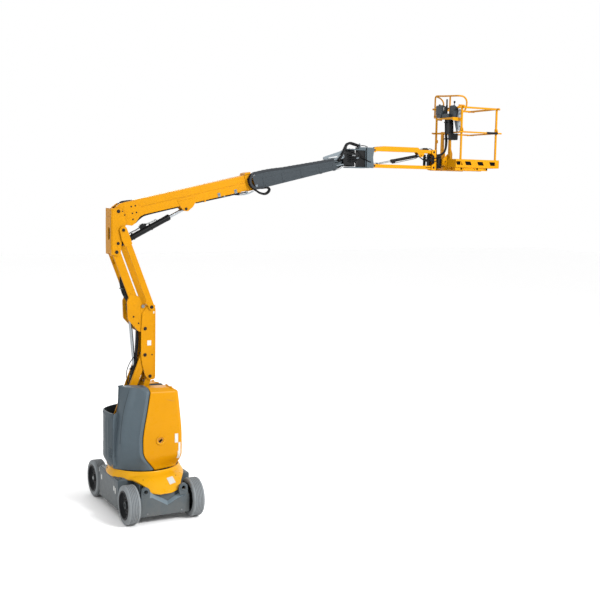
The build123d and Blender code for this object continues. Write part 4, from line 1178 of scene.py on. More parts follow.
p = P("lower_beams", "lower_arm")
for s in (-1, 1):
    p.link(PLA, PB2, 118, *sorted((s * 85, s * 120)), YEL, bevel=6)
    for q in (PLA, PB2):
        boss(p, q, 119.5, s, 44, YEL, 4)
        boss(p, q, 66, s, 42, YEL, 20)
    a = along(PLA, ANG_L, [(90, 0), (430, 0)])
    ft = roundp([a[0], a[1], (PRC_BOT[0] + 30, PRC_BOT[1] + 50), (PRC_BOT[0] + 50, PRC_BOT[1] - 10), (PRC_BOT[0], PRC_BOT[1] - 55)], {2: 30, 3: 30, 4: 30}, 5)
    p.prism(ft, "xz", *sorted((s * 60, s * 80)), YEL, 4)
    boss(p, PRC_BOT, 79, s, 34, YEL, 5)
    weld(p, along(PLA, ANG_L, [(330, 59), (900, 59)]), s * 84)
    # a thin stiffener strip on the outer face
    p.prism(along(PLA, ANG_L, [(200, -10), (1120, -10), (1120, 10), (200, 10)]), "xz", *sorted((s * 118, s * 122.5)), YEL, 2)
for u in (130, 1250):
    c = along(PLA, ANG_L, [(u, 0)])[0]
    p.ycyl(c, 30, -90, 90, YEL)
c = along(PLA, ANG_L, [(400, 0)])[0]
p.ycyl(c, 24, -90, 90, YEL)
p.ycyl(PRC_BOT, 21, -86, 86, STEEL)
p.done("lower_arm", slot="yellow")

p = P("lower_tie_bars", "lower_tie")
for s in (-1, 1):
    p.link(PLT, PB4, 90, *sorted((s * 85, s * 120)), YEL, bevel=6)
    for q in (PLT, PB4):
        boss(p, q, 119.5, s, 36, YEL, 4)
        boss(p, q, 72, s, 34, YEL, 14)
for u in (100, 1240):
    p.ycyl(along(PLT, ANG_L, [(u, 0)])[0], 25, -90, 90, YEL)
p.done("lower_tie", slot="yellow")

p = P("middle_knuckle_plates", "middle_knuckle")
mo = [(-75, 3080), (20, 3205), (135, 3205), (135, 2040), (30, 2030), (-30, 2110), (-80, 2300), (-95, 2440), (-90, 2840)]
mo = roundp(mo, {0: 40, 1: 22, 2: 6, 3: 26, 4: 60, 5: 60, 6: 90, 7: 80, 8: 90}, 6)
for s in (-1, 1):
    p.prism(mo, "xz", *sorted((s * 125, s * 140)), YEL, 2.5)
    for q in (PB1, PB2, PB4):
        boss(p, q, 139.5, s, 40, YEL, 4)
        p.pin(q, 142, s, 19)
    p.hexbolt((84, s * 140, 2427), (0, s, 0), 11, 8)
    p.pin(PTB, 168.5, s, 19)
    p.ycyl(PTB, 19, *sorted((s * 120, s * 171)), STEEL)
    # edge stiffener down the straight side
    p.prism(roundp([(122, 2075), (141, 2075), (141, 3150), (122, 3150)], 4, 2), "xz", *sorted((s * 118, s * 139)), YEL, 2)
    for z in (2240, 2520, 2980):
        p.hexbolt((104, s * 140, z), (0, s, 0), 7, 4, YEL)
    weld(p, [(118, 2075), (118, 3150)], s * 140.5)
p.box(122, 136, -126, 126, 2060, 3150, YEL, 3)
for z0, z1 in ((2160, 2300), (2560, 2760)):
    p.prism(roundp([(-70, z0), (70, z0), (70, z1), (-70, z1)], 40, 5), "yz", 134, 138, YEL, 1.5)
for q in (PB1, PB2, PB4):
    p.ycyl(q, 19, -126, 126, STEEL)
for s, pts in ((-1, ((101, 3070, 24, 36), (6, 2575, 64, 78))),):
    for x, z, w_, h_ in pts:
        p.prism(roundp([(x, z), (x + w_, z), (x + w_, z + h_), (x, z + h_)], 4, 2), "xz", -142.3, -140, LABEL, 0.4)
p.done("middle_knuckle", slot="yellow")

# upper arm: twin beams, cheek plates over the lower end and the two bolts on the near cheek
p = P("upper_beams", "upper_arm")
for s in (-1, 1):
    p.link(PB1, PUA, 128, *sorted((s * 85, s * 120)), YEL, bevel=6)
    ck = [(PB1[0] + 40, PB1[1] - 45), (PB1[0] + 66, PB1[1] + 120), (-120, 3340), (-255, 3400), (-310, 3260), (-300, 2990), (-130, 2800), (PB1[0] - 20, PB1[1] - 62)]
    ck = roundp(ck, {0: 34, 1: 60, 2: 50, 3: 16, 4: 30, 5: 70, 6: 60, 7: 34}, 6)
    p.prism(ck, "xz", *sorted((s * 85, s * 106)), YEL, 3)
    p.prism(ck, "xz", *sorted((s * 112, s * 122.5)), YEL, 2.5)
    for q in (PB1, PUA):
        boss(p, q, 119.5, s, 44, YEL, 4)
        boss(p, q, 72, s, 44, YEL, 14)
    p.hexbolt((PRC_TOP[0] + 20, s * 122.5, PRC_TOP[1] + 4), (0, s, 0), 13, 8)
    p.hexbolt((-129, s * 122.5, 2926), (0, s, 0), 12, 8)
    p.ycyl(PRC_TOP, 44, *sorted((s * 60, s * 89)), YEL)
    p.ycyl(PRC_TOP, 21, *sorted((s * 58, s * 112)), STEEL)
    # weld band across the beam
    w0 = along(PB1, ANG_U, [(625, -66), (625, 66)])
    weld(p, w0, s * 121)
    weld(p, [(-255, 3392), (-118, 3334)], s * 123)
    for q, hole in (((-192, 3210), 16),):
        p.lathe([(0, 0), (hole, 0), (hole, 2), (hole - 3, 2.5), (0, 2.5)], (q[0], s * 122, q[1]), (0, s, 0), YEL, 20)
for u in (620, 1120):
    p.ycyl(along(PB1, ANG_U, [(u, 0)])[0], 30, -90, 90, YEL)
p.done("upper_arm", slot="yellow")

p = P("upper_tie_bars", "upper_tie")
for s in (-1, 1):
    p.link(PTB, PTT, 96, *sorted((s * 145, s * 166)), YEL, bevel=5)
    # widened rounded head plate
    d = (-math.sin(math.radians(20.8)), math.cos(math.radians(20.8)))
    hd = along(PTT, ANG_U, [(52, -34), (60, 10), (30, 56), (-30, 62), (-130, 76), (-250, 60), (-250, -60), (-60, -62), (20, -60)])
    p.prism(roundp(hd, 26, 5), "xz", *sorted((s * 147, s * 169)), YEL, 3)
    boss(p, PTT, 168.5, s, 36, YEL, 4)
    p.pin(PTT, 171, s, 17)
    p.prism(along(PTB, ANG_U, [(200, -14), (1000, -14), (1000, 14), (200, 14)]), "xz", *sorted((s * 164, s * 167.5)), YEL, 1.5)
    weld(p, along(PTB, ANG_U, [(430, -56), (430, 56)]), s * 167)
    # a silver cross-tube end and its collar near the foot
    q = (-50, 3236)
    p.lathe([(0, 0), (30, 0), (30, 5), (24, 7), (18, 7), (16, 3), (0, 3)], (q[0] + 46, s * 166, q[1] + 10), (0, s, 0), YEL, 28)
p.done("upper_tie", slot="yellow")

p = P("knuckle_cross_tube", "middle_knuckle")
for s in (-1, 1):
    p.lathe([(0, 0), (26, 0), (26, 20), (22, 24), (14, 24), (12, 17), (0, 17)], (-60, s * 124, 3128 + 60), (0, s, 0), STEEL, 32)
p.ycyl((-60, 3188), 20, -126, 126, STEEL)
p.prism(roundp([(-96, 3060), (30, 3060), (30, 3170), (-30, 3228), (-80, 3222), (-98, 3180)], 24, 4), "xz", -125, -121, YEL, 1.5)
p.prism(roundp([(-96, 3060), (30, 3060), (30, 3170), (-30, 3228), (-80, 3222), (-98, 3180)], 24, 4), "xz", 121, 125, YEL, 1.5)
p.done(slot="yellow")

p = P("top_knuckle_plates", "top_knuckle")
to = [(-556, 3990), (-420, 3960), (-400, 4180), (-355, 4390), (-330, 4440), (-366, 4650), (-420, 4684), (-556, 4684)]
to = roundp(to, {0: 30, 1: 50, 2: 60, 3: 30, 4: 40, 5: 30, 6: 24, 7: 4}, 6)
for s in (-1, 1):
    p.prism(to, "xz", *sorted((s * 125, s * 140)), YEL, 2.5)
    for q in (PUA, PLC_BOT):
        boss(p, q, 139.5, s, 34, YEL, 4)
    p.pin(PBR, 142, s, 19)
    p.pin(PUA, 142, s, 19)
    p.pin((-456, 4159), 139.5, s, 17)
    p.hexbolt((-388, s * 140, 4645), (0, s, 0), 9, 6)
    p.hexbolt((-352, s * 140, 4589), (0, s, 0), 11, 7)
    p.ycyl(PTT, 19, *sorted((s * 120, s * 171)), STEEL)
    p.prism(roundp([(-436, 4300), (-340, 4300), (-340, 4420), (-420, 4440)], 14, 3), "xz", *sorted((s * 139, s * 144)), YEL, 1.5)
    weld(p, [(-548, 4010), (-548, 4675)], s * 141)
for q in (PUA, PBR, PLC_BOT):
    p.ycyl(q, 19, -126, 126, STEEL)
slotpts = [(-40, 4216), (40, 4216), (40, 4396), (-40, 4396)]
web = roundp([(-139, 4030), (139, 4030), (139, 4684), (-139, 4684)], 4, 2)
# painted shade: a dark sheet behind the slot in the web
p.prism([(-84, 4200), (24, 4200), (24, 4410), (-84, 4410)], "yz", -550, -546, PAINTED_SHADE, 1)
p.prism(web, "yz", -563, -549, YEL, 2, holes=[[(y - 30, z) for y, z in roundp(slotpts, 36, 7)]])
# notched foot of the web and an outer doubler
p.prism([(-139, 4032), (-139, 3985), (-80, 3968), (-60, 4000), (-20, 4010), (40, 4000), (139, 3990), (139, 4032)], "yz", -563, -551, YEL, 2)
p.prism(roundp([(-128, 4060), (128, 4060), (128, 4560), (-128, 4560)], 20, 4), "yz", -568, -562, YEL, 2, holes=[[(y - 30, z) for y, z in roundp([(-46, 4210), (46, 4210), (46, 4402), (-46, 4402)], 40, 7)]])
for z in (4600, 4650):
    for y in (-100, 100):
        p.hexbolt((-563, y, z), (-1, 0, 0), 8, 5, YEL)
p.prism(roundp([(-139, 4680), (139, 4680), (139, 4689), (-139, 4689)], 3, 2), "yz", -563, -420, YEL, 1.5)
p.done("top_knuckle", slot="yellow")

# loose ends on top of the knuckle: a looped cable and a lever
p = P("knuckle_cables", "top_knuckle")
p.tube([(-520, -60, 4682), (-505, -62, 4700), (-470, -64, 4716), (-425, -66, 4716), (-390, -70, 4712), (-362, -72, 4706)], 8, RUBBER)
p.tube([(-500, -30, 4682), (-480, -34, 4708), (-430, -38, 4722), (-390, -42, 4718), (-362, -44, 4704)], 7, RUBBER)
p.slab((-432, -50, 4722), (0.97, 0, 0.22), (0, 1, 0), (-0.22, 0, 0.97), 110, 16, 7, GALV, 2)
p.lathe([(0, 0), (14, 0), (14, 12), (9, 16), (0, 16)], (-470, -50, 4704), (0, 0, 1), STEEL, 20)
p.done(slot="black_paint")


def ram(name, body_b, body_r, p0, q0, rb, rr, lb, rl, ey, eb, et, nb, nr, bmat, ports=(), extra=None):
    a, b = Vector((p0[0], 0, p0[1])), Vector((q0[0], 0, q0[1]))
    d = (b - a).normalized()
    L = (b - a).length
    at = lambda t: a + d * t
    up = d.cross(Vector((0, 1, 0)))
    if up.z < 0:
        up = -up
    c = P(name + "_barrel_tube", body_b)
    c.lathe([(0, 30), (rb * 0.7, 30), (rb, 44), (rb, 70), (rb - 1.5, 74), (rb - 1.5, lb - 60), (rb, lb - 56), (rb + 1, lb - 54), (rb + 1, lb - 10), (rb - 4, lb - 2), (rr + 8, lb), (rr + 3, lb + 5), (rr + 1, lb + 5), (rr + 1, lb - 20), (0, lb - 20)],
            a, d, bmat, 56)
    c.ycyl(p0, eb, -ey, ey, bmat)
    c.slab(at(34), d, (0, 1, 0), up, 46, ey * 1.3, eb * 1.3, bmat, 5)
    for s in (-1, 1):
        c.lathe([(0, 0), (eb * 0.72, 0), (eb * 0.72, 3), (0, 3)], (p0[0], s * ey, p0[1]), (0, s, 0), STEEL, 28)
    for t, side in ports:
        w = at(t) + up * (rb - 3) * (1 if side > 0 else -1)
        u2 = up * (1 if side > 0 else -1)
        c.slab(w + u2 * 8, d, (0, 1, 0), u2, 40, 34, 22, bmat, 4)
        c.lathe([(0, 0), (11, 0), (11, 16), (8, 20), (0, 20)], w + u2 * 18, u2, STEEL, 6)
    if extra:
        extra(c, at, d, up)
    c.done(*nb, slot="black_paint")
    r_ = P(name + "_rod_bar", body_r)
    r_.lathe([(0, L - rl), (rr - 2, L - rl), (rr, L - rl + 2), (rr, L - et - 12), (rr * 0.8, L - et), (0, L - et + 4)], a, d, CHROME, 40)
    r_.ycyl(q0, et, -ey, ey, STEEL)
    r_.slab(at(L - et - 6), d, (0, 1, 0), up, 26, ey * 1.2, et * 1.25, STEEL, 4)
    for s in (-1, 1):
        r_.lathe([(0, 0), (et * 0.7, 0), (et * 0.7, 2.5), (et * 0.4, 3), (0, 3)], (q0[0], s * ey, q0[1]), (0, s, 0), BOLT, 28)
    r_.done(*nr, slot="rod_chrome")


def riser_extra(c, at, d, up):
    v = at(640) - up * 58
    c.slab(v, d, (0, 1, 0), up, 90, 60, 46, BLACK, 6)
    c.tube([at(120) - up * 60 + Vector((0, 20, 0)), at(400) - up * 64 + Vector((0, 20, 0)), at(600) - up * 62 + Vector((0, 16, 0))], 6, STEEL)


ram("riser_ram", "riser_cylinder_barrel", "riser_cylinder_rod", PRC_BOT, PRC_TOP, 45, 25, 835, 810, 50, 38, 32, ("riser_cylinder_barrel",), ("riser_cylinder_rod",), BLACK, ((90, -1), (790, -1)), riser_extra)


def lift_extra(c, at, d, up):
    # valve block on the barrel, with two thin pipes and a spring clip
    v = at(505) + up * 72
    c.slab(v, d, (0, 1, 0), up, 104, 62, 54, BLACK, 7)
    c.slab(v + up * 30 - d * 4, d, (0, 1, 0), up, 52, 44, 22, BLACK, 5)
    c.lathe([(0, 0), (14, 0), (14, 22), (10, 28), (0, 28)], v + d * 50, d, BOLT, 24)
    c.lathe([(0, 0), (12, 0), (12, 18), (0, 18)], v - d * 50, -d, STEEL, 6)
    for s in (-1, 1):
        o = Vector((0, s * 16, 0))
        c.tube([v + d * 60 + o, v + d * 120 + o - up * 4, at(690) + up * 62 + o, at(745) + up * 64 + o, at(752) + up * 46 + o], 6, STEEL)
        c.tube([v - d * 56 + o, v - d * 130 + o - up * 6, at(330) + up * 70 + o, at(200) + up * 66 + o, at(100) + up * 58 + o * 2, at(60) + up * 44 + o * 2], 8 if s > 0 else 6, STEEL if s < 0 else RUBBER)
    for t in (300, 620):
        c.lathe([(49, -8), (53, -8), (53, 8), (49, 8)], at(t), d, BLACK, 40)
        c.slab(at(t) + up * 56, d, (0, 1, 0), up, 16, 46, 12, BLACK, 3)


ram("lift_ram", "lift_cylinder_barrel", "lift_cylinder_rod", PLC_BOT, PLC_TOP, 48, 26, 960, 1040, 46, 38, 26, ("lift_cylinder_barrel",), ("lift_cylinder_rod",), BLACK, ((110, 1),), lift_extra)


def jib_extra(c, at, d, up):
    c.slab(at(560) - up * 34, d, (0, 1, 0), up, 60, 34, 26, BLACK, 4)
    c.tube([at(560) - up * 44, at(480) - up * 44, at(300) - up * 40, at(120) - up * 38, at(60) - up * 30], 5, BLACK)


ram("jib_ram", "jib_cylinder_barrel", "jib_cylinder_rod", JIB_FOOT, JIB_EYE, 28, 15, 620, 630, 28, 26, 26, ("jib_cylinder_barrel",), ("jib_cylinder_rod",), BLACK, (), jib_extra)

# hoses on the riser, one set on each member and bent pieces at the pins
p = P("upper_arm_hoses", "upper_arm")
for k, (y, r) in enumerate(((-62, 13), (-36, 13), (-10, 12), (18, 11), (44, 12))):
    pts = along(PB1, ANG_U, [(860, 30), (770, 58 + 3 * k), (620, 68 + 5 * k), (470, 86 - 3 * k), (350, 94 + 6 * k), (280, 84), (220, 30 + 4 * k)])
    p.tube([(x, y + 3 * math.sin(i * 1.7 + k), z) for i, (x, z) in enumerate(pts)], r, RUBBER, 10)
for u in (700, 420):
    c = along(PB1, ANG_U, [(u, 66)])[0]
    c2 = along(PB1, ANG_U, [(u, 98)])[0]
    p.slab(((c[0] + c2[0]) / 2, -8, (c[1] + c2[1]) / 2), (c2[0] - c[0], 0, c2[1] - c[1]), (0, 1, 0), (c[1] - c2[1], 0, c2[0] - c[0]), 52, 150, 14, SLATE_D, 4)
p.done(slot="black_paint")

p = P("riser_hose_bundle", "lower_arm")
for k, (y, r) in enumerate(((-70, 14), (-44, 15), (-16, 14), (12, 13), (40, 14))):
    pts = [(-150 + 6 * k, 2350), (-176 + 3 * k, 2240), (-212 + 4 * k, 2120), (-240 + 5 * k, 1990), (-300 + 8 * k, 1860), (-380 + 6 * k, 1640)]
    p.tube([(x, y + 4 * math.sin(i * 2.1 + k), z) for i, (x, z) in enumerate(pts)], r, RUBBER, 10)
for k, (y, rr_) in enumerate(((-60, 17), (-24, 18), (14, 17), (46, 16))):
    pts = [(-128 + 8 * k, 2330), (-120 + 6 * k, 2230), (-108 + 5 * k, 2110), (-122 + 5 * k, 1990), (-190 + 8 * k, 1850), (-268 + 6 * k, 1690), (-330 + 6 * k, 1600)]
    p.tube([(x, y + 5 * math.sin(i * 1.9 + k), z) for i, (x, z) in enumerate(pts)], rr_, RUBBER, 10)
p.tube([(-196, -100, 2400), (-262, -108, 2320), (-310, -112, 2210), (-318, -112, 2110), (-300, -110, 2010), (-286, -104, 1930), (-300, -90, 1860)], 7, RUBBER, 10)
p.done(slot="black_paint")
p = P("knuckle_hose_bend", "middle_knuckle")
for k, (y, r) in enumerate(((-70, 14), (-44, 15), (-16, 14), (12, 13), (40, 14))):
    pts = [(-150 + 6 * k, 2350), (-138 + 4 * k, 2480), (-128 + 4 * k, 2640), (-128 + 5 * k, 2800), (-150 + 6 * k, 2900)]
    p.tube([(x, y + 3 * math.sin(i * 2.4 + k), z) for i, (x, z) in enumerate(pts)], r, RUBBER, 10)
p.done(slot="black_paint")

# ================================================================== boom
bm_ = lambda pts: along(PBR, BEL, pts)


def b3(u, v, y):
    q = along(PBR, BEL, [(u, v)])[0]
    return (q[0], y, q[1])


BD = Vector((math.cos(BEL), 0, math.sin(BEL)))
BN = Vector((-math.sin(BEL), 0, math.cos(BEL)))
p = P("outer_boom_shell", "outer_boom")
# lower trough laps over the upper one along a fold
lowc = roundp([(-88, -12), (-88, -140), (88, -140), (88, -12)], {1: 16, 2: 16}, 5)
upc = roundp([(-83, 110), (-83, -30), (83, -30), (83, 110)], {0: 14, 3: 14}, 5)


def tube_section(p, sec, wall, u0, u1, mat, bevel=1.5):
    """an extruded box section along the boom, closed at both ends"""
    n = len(sec)
    cy = sum(a for a, b in sec) / n
    cz = sum(b for a, b in sec) / n
    loops = [[b3(u, v, y) for y, v in sec] for u in (u0, u1)]
    p.loft(loops, mat, bevel)


tube_section(p, lowc, 8, 128, 2286, YEL, 2)
tube_section(p, upc, 8, 128, 2284, YEL, 2)
# the lap: a slim rounded strip along each side
for s in (-1, 1):
    p.tube([b3(260, -13, s * 87), b3(1200, -14, s * 87), b3(2200, -16, s * 87)], 3.2, YEL, 8, 2)
# root plates, doubler and bolts
rp = [(-45, -42), (12, -50), (90, -230), (172, -264), (236, -236), (330, -150), (392, -140), (402, -70), (386, -18), (300, 62), (262, 104), (60, 108), (-45, 60)]
rp = roundp(rp, {0: 30, 1: 30, 2: 30, 3: 40, 4: 20, 5: 30, 6: 10, 7: 10, 8: 20, 9: 20, 10: 10, 11: 40, 12: 44}, 5)
for s in (-1, 1):
    p.prism(bm_(rp), "xz", *sorted((s * 70, s * 99)), YEL, 2.5)
    for q in ((-238, 4715), (-173, 4730), (-219, 4613), (-154, 4628), (-209, 4522)):
        p.hexbolt((q[0], s * 99, q[1]), (0, s, 0), 12, 8)
    boss(p, PBR, 98, s, 46, YEL, 5)
    dbl = bm_(roundp([(130, -150), (280, -110), (310, 20), (250, 92), (110, 98), (90, -60)], 20, 4))
    p.prism(dbl, "xz", *sorted((s * 97, s * 100.5)), YEL, 1.2)
p.ycyl(PBR, 45, -72, 72, YEL)
# closed underside between the root plates
p.prism(bm_([(100, -150), (180, -215), (240, -200), (400, -136), (400, -120), (130, -120)]), "xz", -72, 72, YEL, 3)
# lift cylinder bracket: two lugs whose outline was measured from the photo
lg = roundp([(507, 4820), (578, 4703), (628, 4656), (690, 4650), (777, 4722), (814, 4789), (862, 4880), (700, 4880)], {0: 8, 1: 30, 2: 26, 3: 30, 4: 20, 5: 16, 6: 6}, 5)
for s in (-1, 1):
    p.prism(lg, "xz", *sorted((s * 62, s * 92)), YEL, 2.5)
    boss(p, PLC_TOP, 91.5, s, 32, YEL, 4)
    p.pin(PLC_TOP, 94, s, 15)
    weld(p, [(520, 4800), (842, 4870)], s * 92.5)
# end collar with its raised block, side pads and screws
for s in (-1, 1):
    p.prism(bm_(roundp([(2180, -146), (2290, -146), (2290, 114), (2180, 114)], 8, 3)), "xz", *sorted((s * 84, s * 94)), YEL, 2)
    for u, v in ((2214, 40), (2236, -66), (2262, 80), (2262, -116)):
        q = b3(u, v, s * 94)
        p.hexbolt(q, (0, s, 0), 9, 6, BOLT)
    for q in ((1216, 4913), (1504, 4972)):
        c = Vector((q[0], s * 90, q[1]))
        p.slab(c, BD, (0, 1, 0), BN, 46, 7, 60, GALV, 2)
        p.hexbolt(c + Vector((0, s * 3, 0)) + BN * 12, (0, s, 0), 6, 5, BOLT)
        p.slab(c - BN * 30 - Vector((0, s * 6, 0)), BD, (0, 1, 0), BN, 46, 20, 6, GALV, 2)
p.prism(bm_(roundp([(2176, 104), (2292, 104), (2292, 142), (2196, 142)], 6, 3)), "xz", -94, 94, YEL, 3)
p.prism(bm_(roundp([(2180, -152), (2290, -152), (2290, -138), (2180, -138)], 4, 2)), "xz", -94, 94, YEL, 2)
# painted shade: a dark sheet in the open end of the boom
p.prism(bm_([(2283, -120), (2290.5, -120), (2290.5, 90), (2283, 90)]), "xz", -70, 70, PAINTED_SHADE, 1)
for s in (-1, 1):
    p.prism(bm_([(2284, -118), (2300, -118), (2300, 40), (2284, 40)]), "xz", *sorted((s * 61, s * 76)), BLACK, 2)
p.done("outer_boom", slot="yellow", sharp=30)

p = P("boom_hoses", "outer_boom")
for k, y in enumerate((-48, -22, 6, 30)):
    p.tube([b3(250 + 6 * k, -236, y), b3(330, -190 + 2 * k, y), b3(430, -158, y + 3), b3(700, -152, y + (5 if y > 0 else -5)), b3(980, -151, y * 0.2 + 52 * (1 if y > 0 else -1))], 9, RUBBER, 10)
for k, y in enumerate((-60, -36, -10)):
    p.tube([b3(1290, -149, y), b3(1600, -153, y), b3(1900, -156, y), b3(2060, -158, y - 14), b3(2160, -166, y - 50)], 9, RUBBER, 10)
for u in (1420, 1760, 2040):
    p.prism(bm_([(u, -166), (u + 30, -166), (u + 30, -140), (u, -140)]), "xz", -78, 8, GALV if u == 1760 else YEL, 3)
# hoses from the knuckle into the boom root
for k, y in enumerate((-52, -30, 28, 50)):
    p.tube([b3(70, 92, y), b3(130, 112 + 2 * k, y), b3(220, 114, y * 0.8), b3(300, 104, y * 0.7)], 7, RUBBER, 10)
p.done(slot="black_paint")

p = P("inner_boom_beam", "inner_boom")
sec = roundp([(-60, -122), (60, -122), (60, 42), (-60, 42)], 12, 4)
tube_section(p, sec, 6, 1842, 3905, YEL, 1.5)
for s in (-1, 1):
    er = bm_(roundp([(3825, -122), (lvu, lvv - 45), (lvu + 40, lvv - 20), (lvu + 40, lvv + 20), (lvu, lvv + 45), (3825, 42)], {1: 20, 2: 16, 3: 16, 4: 20}, 4))
    p.prism(er, "xz", *sorted((s * 40, s * 62)), SLATE, 2.5)
    boss(p, PLV, 61.5, s, 30, SLATE, 4)
    p.pin(PLV, 64, s, 15)
# dark collar at the end, with wear pads
cs = roundp([(-68, -134), (68, -134), (68, 56), (-68, 56)], 14, 4)
p.loft([[b3(u, v, y) for y, v in cs] for u in (3650, 3846)], SLATE, 3)
for u in (3690, 3800):
    for v in (-90, 10):
        for s in (-1, 1):
            p.hexbolt(b3(u, v, s * 68), (0, s, 0), 9, 6)
p.done("inner_boom", slot="slate", sharp=30)

# hose carrier: a tray on the near side of the boom and the chain laid in it
p = P("hose_carrier_tray", "inner_boom")
tr = [(2300, -110), (2330, -150), (3832, -128), (3832, -78), (3818, -64), (3818, 30), (3300, 60), (2360, 100), (2280, 60)]
p.prism(bm_(roundp(tr, {0: 20, 1: 20, 2: 8, 3: 4, 4: 4, 5: 10, 7: 20, 8: 20}, 4)), "xz", -166, -156, SLATE_D, 2.5)
p.prism(bm_([(2340, -150), (3830, -127), (3830, -119), (2340, -142)]), "xz", -164, -74, SLATE_D, 2)
p.prism(bm_(roundp([(2400, -96), (3780, -74), (3780, -62), (2400, -84)], 4, 2)), "xz", -169, -164, SLATE_D, 2)
p.prism(bm_(roundp([(2400, 10), (3780, -14), (3780, -2), (2400, 22)], 4, 2)), "xz", -169, -164, SLATE_D, 2)
for u in (2450, 2800, 3150, 3500, 3760):
    p.prism(bm_(roundp([(u, -138), (u + 46, -138), (u + 46, 30 - (u - 2450) * 0.02), (u, 30 - (u - 2450) * 0.02)], 6, 3)), "xz", -170, -160, SLATE_D, 2)
    p.hexbolt(b3(u + 23, -112, -170), (0, -1, 0), 7, 4, BOLT)
    p.slab(b3(u + 23, -30, -112), BD, (0, 1, 0), BN, 40, 96, 14, SLATE_D, 3)
p.done("hose_chain", slot="black_plastic")


def chain_at(t):
    """point and direction on the chain's path: t in mm from its lower left, round the bend and out along the top"""
    c0, R = (2352.0, -12.0), 122.0
    arc = math.pi * R
    if t < 0:
        return (c0[0] - t, c0[1] - R), 180.0
    if t < arc:
        a = 270 - math.degrees(t / R)
        return (c0[0] + R * math.cos(math.radians(a)), c0[1] + R * math.sin(math.radians(a))), a - 90
    d = t - arc
    return (c0[0] + d, c0[1] + R - d * 0.046 + 10 * math.sin(math.pi * min(1, d / 500))), -2.6


p = P("hose_carrier_chain", "inner_boom")
t, i = -60.0, 0
while t < math.pi * 122 + 1440:
    (u, v), a = chain_at(t)
    ar = math.radians(a)
    dd = BD * math.cos(ar) + BN * math.sin(ar)
    nn = dd.cross(Vector((0, 1, 0)))
    c = Vector(b3(u, v, -130))
    for y in (-166, -98):
        p.slab(Vector((c.x, y, c.z)), dd, (0, 1, 0), nn, 43, 10, 40 if i % 2 else 36, CHAIN, 3)
    if i % 2 == 0:
        p.slab(c + nn * 15, dd, (0, 1, 0), nn, 16, 64, 5, CHAIN, 1.5)
        p.slab(c - nn * 15, dd, (0, 1, 0), nn, 16, 64, 5, CHAIN, 1.5)
    t += 40.0
    i += 1
for k, y in enumerate((-150, -133, -116)):
    p.tube([b3(*chain_at(tt)[0], y) for tt in range(-60, int(math.pi * 122 + 1440), 60)], 8, RUBBER, 8, 2)
p.done(slot="black_plastic")

# hose loop at the left end of the carrier, in two pieces either side of the sliding joint
p = P("carrier_hose_loop", "inner_boom")
for k, y in enumerate((-150, -132)):
    o = k * 9
    p.tube([(1840 + o, y, 5066 - o), (1930, y, 5040 - o), (2030, y - 4, 5048 - o), (2078 - o, y - 6, 5014), (2050 - o, y - 4, 4958 + o), (1986, y, 4934 + o), (1900, y, 4952 + o), (1843, y, 4985 + o), (1800, y + 4, 5010 + o), (1800, y + 6, 5040 + o)], 15, RUBBER, 12)
p.slab((1838, -141, 5066), (0.97, 0, 0.22), (0, 1, 0), (-0.22, 0, 0.97), 34, 60, 34, GALV, 4)
p.done(slot="black_paint")
p = P("boom_feed_hose", "outer_boom")
for k, y in enumerate((-136, -118)):
    p.tube([b3(1960, -160, -70), b3(2030, -176, -96), b3(2110, -186, y), b3(2200, -180, y), b3(2262, -166, y)], 9, PALE if k == 0 else RUBBER, 10)
p.slab(b3(2150, -160, -104), BD, (0, 1, 0), BN, 40, 50, 30, GALV, 4)
p.done(slot="black_paint")
# ================================================================== boom tip, actuator and swinging bracket
p = P("tip_actuator", "boom_tip")
p.lathe([(0, 5425), (80, 5425), (95, 5432), (95, 5470), (88, 5476), (88, 5500), (95, 5506), (95, 5612), (88, 5618), (88, 5644), (95, 5650), (95, 5688), (82, 5695), (0, 5695)], (3650, 0, 0), (0, 0, 1), BLACK, 56)
for i in range(8):
    a = 2 * math.pi * i / 8
    p.hexbolt((3650 + 72 * math.cos(a), 72 * math.sin(a), 5694), (0, 0, 1), 7, 3, BOLT)
p.prism(roundp([(3440, 5440), (3520, 5425), (3600, 5430), (3600, 5690), (3500, 5690), (3450, 5560)], 14, 3), "xz", -36, 36, BLACK, 4)
for s in (-1, 1):
    p.prism(roundp([(3445, 5452), (3570, 5450), (3590, 5520), (3585, 5660), (3520, 5662), (3470, 5600)], 16, 3), "xz", *sorted((s * 34, s * 48)), BLACK, 3)
    p.hexbolt((3540, s * 48, 5500), (0, s, 0), 10, 6)
    p.hexbolt((3545, s * 48, 5620), (0, s, 0), 10, 6)
p.ycyl(PLV, 19, -38, 38, STEEL)
p.prism(roundp([(3480, 5440), (3662, 5440), (3662, 5668), (3500, 5668), (3460, 5560)], 14, 3), "xz", -112, -60, BLACK, 4)
# ports, blocks and fittings crowding round the actuator
p.box(3600, 3700, -128, -92, 5486, 5560, BLACK, 6)
p.box(3612, 3690, -140, -100, 5580, 5640, BLACK, 6)
p.box(3560, 3610, -110, -60, 5560, 5650, BLACK, 6)
p.box(3690, 3752, -104, -58, 5520, 5612, BLACK, 6)
p.cyl((3630, -140, 5606), (3630, -158, 5606), 11, STEEL, 16)
p.cyl((3666, -140, 5606), (3666, -158, 5606), 11, STEEL, 16)
p.cyl((3720, -104, 5590), (3790, -108, 5600), 13, BLACK, 20)
p.cyl((3720, -104, 5545), (3800, -100, 5548), 16, BLACK, 20)
p.slab((3742, -118, 5566), (1, 0, 0.1), (0, 1, 0), (-0.1, 0, 1), 52, 10, 16, GALV, 2)
for k in range(4):
    z = 5500 + 38 * k
    p.tube([(3520, -60 - 6 * k, z - 30), (3560, -112 - 4 * k, z + 6), (3640, -150 + 4 * k, z + 22 - 10 * k), (3700, -128, z - 6), (3716, -96, z - 18)], 10, RUBBER, 10)
p.tube([(3560, -84, 5640), (3600, -118, 5672), (3650, -128, 5664), (3690, -110, 5640)], 12, RUBBER, 10)
p.done("boom_tip", slot="black_paint")

